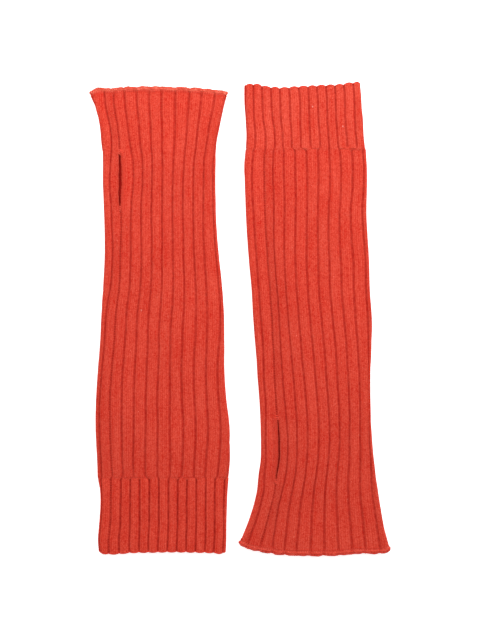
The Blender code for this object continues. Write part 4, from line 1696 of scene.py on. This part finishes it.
@dataclass
class Warmer:
    """One arm warmer: its sleeve, cuff and cast-off edge with all their stitches."""

    side: Side
    sleeve: Stretch
    cuff: Stretch
    slit: ThumbSlit
    first_pair: tuple[int, int]
    new_grooves: tuple[int, ...]
    arches: tuple[int, ...]
    seed: int
    cuff_seam: int          # the cuff's groove that the seam goes on through
    slubs: tuple[tuple[float, float], ...]
    rib_bumps: float        # how far the cuff's ribs stand out past its grooves at the free edge

    def __post_init__(self) -> None:
        """Fit the sleeve's and the cuff's grooves to each other."""
        self.sleeve, self.cuff = joined(self.sleeve, self.cuff, self.first_pair, self.new_grooves)
        self.way = self.sleeve.end.way
        self.band_y = self.sleeve.end.y - self.way * EDGE_BAND

    def named(self, part: str) -> str:
        """A piece's name."""
        return f"{self.side.value}_{part}"

    def ends(self, first: TubeEnd, second: TubeEnd) -> tuple[TubeEnd, TubeEnd]:
        """Two ends, the lower one along Y first."""
        return (first, second) if first.y < second.y else (second, first)

    def build(self, shop: Workshop) -> None:
        """Args:
            shop: The shared trees and finishes.
        """
        sleeve = self.build_sleeve(shop)
        cuff = self.build_cuff(shop)
        edge = self.build_edge(shop)
        chain = self.build_chain(shop)
        picks = self.build_picked_row(shop)
        seam = self.build_seam(shop)
        cuff_seam = self.build_cuff_seam(shop)
        selvedge = self.build_selvedge(shop)
        tie = self.build_tie(shop)
        rim = self.build_cast_on(shop)
        slubs = self.build_slubs(shop)
        fuzz = [self.build_fuzz(shop, piece, seed) for seed, piece in enumerate((sleeve, cuff, edge), 1)]
        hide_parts(self.named("sleeve"))
        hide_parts(self.named("cuff"))
        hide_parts(self.named("hand_edge"))
        for piece, slot in ((sleeve, "sleeve_wool"), (cuff, "cuff_wool"), (edge, "edge_wool"),
                            (chain, "edge_wool"), (picks, "edge_wool"), (seam, "sleeve_wool"),
                            (selvedge, "sleeve_wool"), (tie, "sleeve_wool"), (cuff_seam, "cuff_wool"),
                            (rim, "cuff_wool"), (slubs, "sleeve_wool"), (fuzz[0], "sleeve_wool"),
                            (fuzz[1], "cuff_wool"), (fuzz[2], "edge_wool")):
            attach(piece, BODY)
            triangles = sum(len(face.vertices) - 2 for face in piece.data.polygons)
            log.info("%s: %d triangles", piece.name, triangles)
        self.flat(self.sleeve, self.band_y, self.sleeve.join_y)
        self.flat(self.cuff, self.cuff.join_y, self.cuff.end.y)

    def flat(self, stretch: Stretch, start: float, end: float) -> tuple[float, float]:
        """The cut of a stretch, all round and along, in metres."""
        rows = np.linspace(start, end, 60)
        size = (float(np.mean(girth(stretch.width(rows)))) * MM, abs(end - start) * MM)
        log.info("%s cut: %.4f by %.4f m", self.side.value, *size)
        return size

    def build_sleeve(self, shop: Workshop) -> Piece:
        """The sleeve's wall, with the thumb slit."""
        hand = TubeEnd(self.band_y - self.way * 0.02, inset=0.45, rounding=0.8, grooves=0.8, fade=2.5)
        join = TubeEnd(self.sleeve.join_y, inset=0.06, rounding=0.5)
        low, high = self.ends(hand, join)
        # groove_share sets how dark the painted shade in the sleeve's grooves is
        wool = WoolFinish(f"{self.side.value} sleeve wool", seed=self.seed, groove_share=0.76)
        shell = KnitShell(self.named("sleeve_knit"), self.sleeve, low, high, row_step=1.5, slit=self.slit,
                          arches=tuple((rib, rib + 1) for rib in self.arches))
        return shell.build(shop.relief, wool.material(shop.shading), self.seed)

    def build_cuff(self, shop: Workshop) -> Piece:
        """The cuff's wall, whose ribs end in small rounded bumps."""
        way = self.cuff.end.way
        join = TubeEnd(self.cuff.join_y + way * 0.02, inset=0.06, rounding=0.5)
        free = TubeEnd(self.cuff.end.y, inset=0.9, rounding=1.6, scallop=self.rib_bumps, bulge=0.1,
                       grooves=0.45, fade=2.0)
        low, high = self.ends(join, free)
        wool = CUFF_WOOLS[self.side].material(shop.shading)
        shell = KnitShell(self.named("cuff_knit"), self.cuff, low, high, row_step=0.95, groove_reach=0.76,
                          new_grooves=self.new_grooves,
                          arches=tuple((groove - 1, groove + 1) for groove in self.new_grooves))
        return shell.build(shop.relief, wool, self.seed + 0.5)

    def build_edge(self, shop: Workshop) -> Piece:
        """The cast-off edge's wall, a soft roll that the chain lies on."""
        inner = TubeEnd(self.band_y, inset=0.45, rounding=0.8, grooves=0.7, fade=1.2)
        free = TubeEnd(self.sleeve.end.y, inset=1.0, rounding=1.8, scallop=0.4, bulge=0.15, grooves=0.3,
                       fade=6.0)
        low, high = self.ends(inner, free)
        # The edge's grooves get only a little painted shade
        wool = WoolFinish(
            f"{self.side.value} edge wool", seed=self.seed + 0.25, light=(0.93, 0.150, 0.100, 1.0),
            dark=(0.64, 0.034, 0.016, 1.0), groove_share=0.4,
        ).material(shop.shading)
        shell = KnitShell(self.named("hand_edge_knit"), self.sleeve, low, high, row_step=0.4)
        return shell.build(shop.relief, wool, self.seed + 0.25)

    def ring(self, stretch: Stretch, y: float, depth: float, groove_depth: float = 0.0,
             scallop: float = 0.0) -> tuple[Array, Array]:
        """A closed line round a stretch at y, that far under its outside and deeper in its grooves.

        Args:
            stretch: The stretch.
            y: Places along Y.
            depth: How far under the outside the line lies.
            groove_depth: How much deeper it lies in a groove.
            scallop: How far it stands back in a groove.

        Returns:
            The line's points and the way out of the cloth at each.
        """
        numbers = np.arange(0.0, stretch.ribs, 1.0 / 12.0)
        points, up = stretch.outside(numbers, np.array([y]), depth)
        mask = smooth(1.0 - from_groove(numbers) * stretch.wales / GROOVE_REACH)
        points -= up * (mask * groove_depth - FOLD_SWELL * up[..., 0] ** 2)[..., None]
        points[..., 1] -= stretch.end.way * scallop * set_back(numbers, up)
        return points[0], up[0]

    def build_chain(self, shop: Workshop) -> Piece:
        """The chain of links along the cast-off edge."""
        line = self.ring(self.sleeve, self.sleeve.end.y - self.way * 1.5, depth=0.25, groove_depth=0.2)
        size = StitchSize(length=3.0, radius=0.46, width=2.1)
        count = self.sleeve.ribs * self.sleeve.wales
        return shop.runs[Stitch.CHAIN].lay(self.named("cast_off_chain"), line, count, size, self.seed,
                                           shop.edge_yarn[self.side], closed=True)

    def build_picked_row(self, shop: Workshop) -> Piece:
        """The row of small stitches that ties the cast-off edge to the sleeve."""
        line = self.ring(self.sleeve, self.band_y, depth=0.55, groove_depth=0.7)
        size = StitchSize(length=1.0, radius=0.36, width=2.3, rise=0.9)
        return shop.runs[Stitch.BAR].lay(self.named("picked_row"), line, self.sleeve.ribs * self.sleeve.wales,
                                         size, self.seed + 1, shop.yarn, closed=True)

    def stitch_line(self, name: str, stretch: Stretch, groove: int, start: float, stop: float,
                    shop: Workshop, seed: int) -> Piece:
        """A line of sewn stitches down one groove.

        Args:
            name: The piece's name.
            stretch: The stretch that it is sewn in.
            groove: The groove's number.
            start: Where it starts along Y.
            stop: Where it ends.
            shop: The shared trees and finishes.
            seed: Seed of its unevenness.

        Returns:
            The piece.
        """
        rows = np.arange(start, stop, 3.0)
        points, up = stretch.outside(np.array([float(groove)]), rows, GROOVE_DEPTH - 0.05)
        count = max(3, round((stop - start) / 2.05))
        size = StitchSize(length=1.7, radius=0.26, width=1.7, rise=0.75)
        return shop.runs[Stitch.BAR].lay(name, (points[:, 0], up[:, 0]), count, size, seed, shop.yarn)

    def build_seam(self, shop: Workshop) -> Piece:
        """The sewn stitches down the slit's groove, above and below the slit."""
        ends = sorted((self.band_y, self.sleeve.join_y))
        low = self.stitch_line(self.named("seam_stitches"), self.sleeve, 0, ends[0] + 1.5,
                               self.slit.bottom - 1.5, shop, self.seed + 2)
        high = self.stitch_line(self.named("seam_stitches_high"), self.sleeve, 0, self.slit.top + 1.5,
                                ends[1] - 1.5, shop, self.seed + 3)
        return join_pieces(low.name, [low, high])

    def build_cuff_seam(self, shop: Workshop) -> Piece:
        """The same seam on its way through the cuff."""
        way = self.cuff.end.way
        start, stop = sorted((self.cuff.join_y + way, self.cuff.end.y - 3.5 * way))
        return self.stitch_line(self.named("cuff_seam_stitches"), self.cuff, self.cuff_seam, start, stop,
                                shop, self.seed + 8)

    def build_selvedge(self, shop: Workshop) -> Piece:
        """The short stitches over the slit's rolled edge."""
        rows = np.arange(self.slit.bottom - 0.5, self.slit.top + 0.6, 1.5)
        points, up = self.sleeve.outside(np.array([0.0]), rows, 0.5)
        points[:, 0, 0] += self.slit.selvedge * (self.slit.half_width(rows) + 1.0)
        count = round((self.slit.top - self.slit.bottom) / ROW_HEIGHT)
        size = StitchSize(length=2.6, radius=0.42, width=2.4, rise=1.5)
        line = points[:, 0], up[:, 0]
        return shop.runs[Stitch.BAR].lay(self.named("selvedge_stitches"), line, count, size, self.seed + 9,
                                         shop.yarn)

    def build_tie(self, shop: Workshop) -> Piece:
        """The small crossed stitches that stop the slit at both ends."""
        size = StitchSize(length=2.6, radius=0.5, width=2.6, rise=1.9)
        ties = []
        for i, y in enumerate((self.slit.top, self.slit.bottom)):
            rows = y + np.array([-1.6, 0.0, 1.6])
            points, up = self.sleeve.outside(np.array([0.0]), rows, 0.9)
            slant = np.array([-0.5, 0.0, 0.0]) * self.slit.selvedge * np.array([[1], [0], [-1]])
            points = points[:, 0] + slant
            ties.append(shop.runs[Stitch.BAR].lay(self.named(f"slit_tie{i}"), (points, up[:, 0]), 3, size,
                                                  self.seed + 4 + i, shop.tie_yarn))
        return join_pieces(self.named("slit_tie"), ties)

    def build_slubs(self, shop: Workshop) -> Piece:
        """The few pale slubs of wool that stand out on the upper side."""
        size = StitchSize(length=1.0, radius=0.2, width=0.9, rise=0.5)
        up = np.array([[0.0, 0.0, 1.0]] * 2)
        slubs = []
        for i, (x, y) in enumerate(self.slubs):
            stretch = self.cuff if (y - self.sleeve.join_y) * self.way < 0 else self.sleeve
            z = THICKNESS + float(stretch.lift(np.array([x]), np.array([y]))[0]) - 0.15
            points = np.array([[x + stretch.line, y + step, z] for step in (-0.35, 0.35)])
            slubs.append(shop.runs[Stitch.BAR].lay(self.named(f"slub{i}"), (points, up), 2, size,
                                                   self.seed + 20 + i, shop.slub_yarn))
        return join_pieces(self.named("slubs"), slubs)

    def build_cast_on(self, shop: Workshop) -> Piece:
        """The loops of the cast-on row round the cuff's free edge."""
        y = self.cuff.end.y - self.cuff.end.way * 0.55
        line = self.ring(self.cuff, y, depth=1.0, groove_depth=0.5, scallop=0.9 * self.rib_bumps)
        size = StitchSize(length=1.75, radius=0.32, rise=0.72)
        return shop.runs[Stitch.LOOP].lay(self.named("cast_on_loops"), line, self.cuff.ribs * self.cuff.wales,
                                          size, self.seed + 6, shop.tie_yarn, closed=True)

    def build_fuzz(self, shop: Workshop, carrier: Piece, seed: int) -> Piece:
        """Short wool fibres on one shell."""
        piece = add_object(carrier.name.replace("knit", "fuzz"), carrier.data.copy())
        return apply_tree(piece, shop.fuzz.tree, {"Seed": self.seed * 10 + seed, "Material": shop.fibre})


def join_pieces(name: str, pieces: Sequence[Piece]) -> Piece:
    """Put the meshes of several pieces into the first one's.

    Args:
        name: The joined piece's name.
        pieces: The pieces.

    Returns:
        The first piece, with all their meshes.
    """
    first, *others = pieces
    for other in others:
        work = bmesh.new()
        work.from_mesh(first.data)
        work.from_mesh(other.data)
        work.to_mesh(first.data)
        work.free()
        bpy.data.objects.remove(other)
    first.name = name
    return first


# The studio

@dataclass
class Studio:
    """A pale floor, soft light from above and a camera that looks straight down."""

    view_height: float = 0.5440      # what the picture's long side shows, at the folds' height
    fold_height: float = 0.0025
    centre_y: float = -0.0006
    lens: float = 100.0
    sensor: float = 36.0
    floor_size: float = 60.0
    key_energy: float = 5.27
    fill_energy: float = 8.78
    sky: float = 0.42

    def build(self) -> None:
        """Make the camera, the floor, the lights and the sky."""
        self.build_camera()
        self.build_floor()
        self.build_light("key light", (-0.35, 0.55, 0.65), 0.7, self.key_energy)
        self.build_light("fill light", (0.50, 0.55, 0.75), 0.8, self.fill_energy)
        self.build_sky()
        bpy.context.scene.view_settings.view_transform = "Standard"
        bpy.context.scene.view_settings.look = "None"

    def build_camera(self) -> None:
        """A long lens straight above."""
        data = bpy.data.cameras.new("camera")
        data.lens, data.sensor_width = self.lens, self.sensor
        data.clip_start, data.clip_end = 0.05, 100.0
        camera = add_object("camera", data)
        distance = self.view_height * self.lens / self.sensor
        camera.location = (0.0, self.centre_y, self.fold_height + distance)
        bpy.context.scene.camera = camera

    def build_floor(self) -> None:
        """A wide white floor, just under the wool."""
        half = self.floor_size / 2
        mesh = bpy.data.meshes.new("floor")
        corners = [(-half, -half, 0.0), (half, -half, 0.0), (half, half, 0.0), (-half, half, 0.0)]
        mesh.from_pydata(corners, [], [(0, 1, 2, 3)])
        floor = add_object("floor", mesh)
        material, n, shader, place = new_material("Studio floor")
        paper = n.mix(n.noise(place, 3.0, 2.0), (0.90, 0.90, 0.90, 1.0), (0.93, 0.93, 0.93, 1.0))
        n.put(shader.inputs["Base Color"], paper)
        shader.inputs["Roughness"].default_value = 0.95
        shader.inputs["Specular IOR Level"].default_value = 0.0
        shader.inputs["Emission Color"].default_value = (1.0, 1.0, 1.0, 1.0)
        shader.inputs["Emission Strength"].default_value = 0.72
        mesh.materials.append(material)

    def build_light(self, name: str, place: tuple[float, float, float], size: float, energy: float) -> None:
        """A square soft light that faces the warmers.

        Args:
            name: The object's name.
            place: Where it hangs, in metres.
            size: The length of its side, in metres.
            energy: Its power, in watts.
        """
        data = bpy.data.lights.new(name, "AREA")
        data.shape, data.size, data.energy = "SQUARE", size, energy
        light = add_object(name, data)
        light.location = place
        light.rotation_euler = Vector(place).to_track_quat("Z", "Y").to_euler()

    def build_sky(self) -> None:
        """Even white light from all round."""
        world = bpy.data.worlds.new("studio")
        world.use_nodes = True
        world.node_tree.nodes["Background"].inputs["Color"].default_value = (1.0, 1.0, 1.0, 1.0)
        world.node_tree.nodes["Background"].inputs["Strength"].default_value = self.sky
        bpy.context.scene.world = world


def build_warmers() -> list[Warmer]:
    """Both warmers, with their own outlines.

    Returns:
        The left one and the right one.
    """
    left_join, right_join = -134.85, 144.35
    left_hand = FreeEnd(197.0, LEFT_HAND_END, lobe=0.5, notch=-0.3, notch_depth=0.9)
    right_hand = FreeEnd(-200.3, RIGHT_HAND_END, lobe=0.5, notch=1.0, notch_depth=0.5)
    left_elbow, right_elbow = FreeEnd(-198.4, LEFT_CUFF_END), FreeEnd(198.3, RIGHT_CUFF_END)
    left = Warmer(
        Side.LEFT,
        Stretch(LEFT_LINE, LEFT_SLEEVE, SLEEVE_MARKS, SLEEVE_RIBS, SLEEVE_WALES, left_hand, LEFT_SWELLS,
                left_join, 11, LEFT_STRAYS),
        Stretch(LEFT_LINE, LEFT_CUFF, CUFF_MARKS, CUFF_RIBS, CUFF_WALES, left_elbow, LEFT_SWELLS,
                left_join, 12, LEFT_CUFF_STRAYS),
        ThumbSlit(top=142.3, bottom=93.8, width=2.9, selvedge=1),
        first_pair=(-1, -1), new_grooves=(3, 8, 16, 21), arches=(2, 6, 13, 17), seed=1, cuff_seam=0,
        slubs=((-15.2, 7.65),), rib_bumps=0.8,
    )
    right = Warmer(
        Side.RIGHT,
        Stretch(RIGHT_LINE, RIGHT_SLEEVE, SLEEVE_MARKS, SLEEVE_RIBS, SLEEVE_WALES, right_hand, RIGHT_SWELLS,
                right_join, 21, RIGHT_STRAYS),
        Stretch(RIGHT_LINE, RIGHT_CUFF, CUFF_MARKS, CUFF_RIBS, CUFF_WALES, right_elbow, RIGHT_SWELLS,
                right_join, 22, RIGHT_CUFF_STRAYS),
        ThumbSlit(top=-83.2, bottom=-137.6, width=1.8, selvedge=-1, roll_shade=0.6),
        first_pair=(-1, 0), new_grooves=(6, 10, 19, 23), arches=(4, 7, 13, 17), seed=2, cuff_seam=1,
        slubs=((1.6, 180.5), (27.3, 163.7)), rib_bumps=1.25,
    )
    return [left, right]


def main() -> None:
    """Set up the studio, then build both warmers."""
    logging.basicConfig(level=logging.INFO, format="%(name)s %(message)s")
    Studio().build()
    shop = Workshop()
    for warmer in build_warmers():
        warmer.build(shop)


if __name__ == "__main__":
    main()
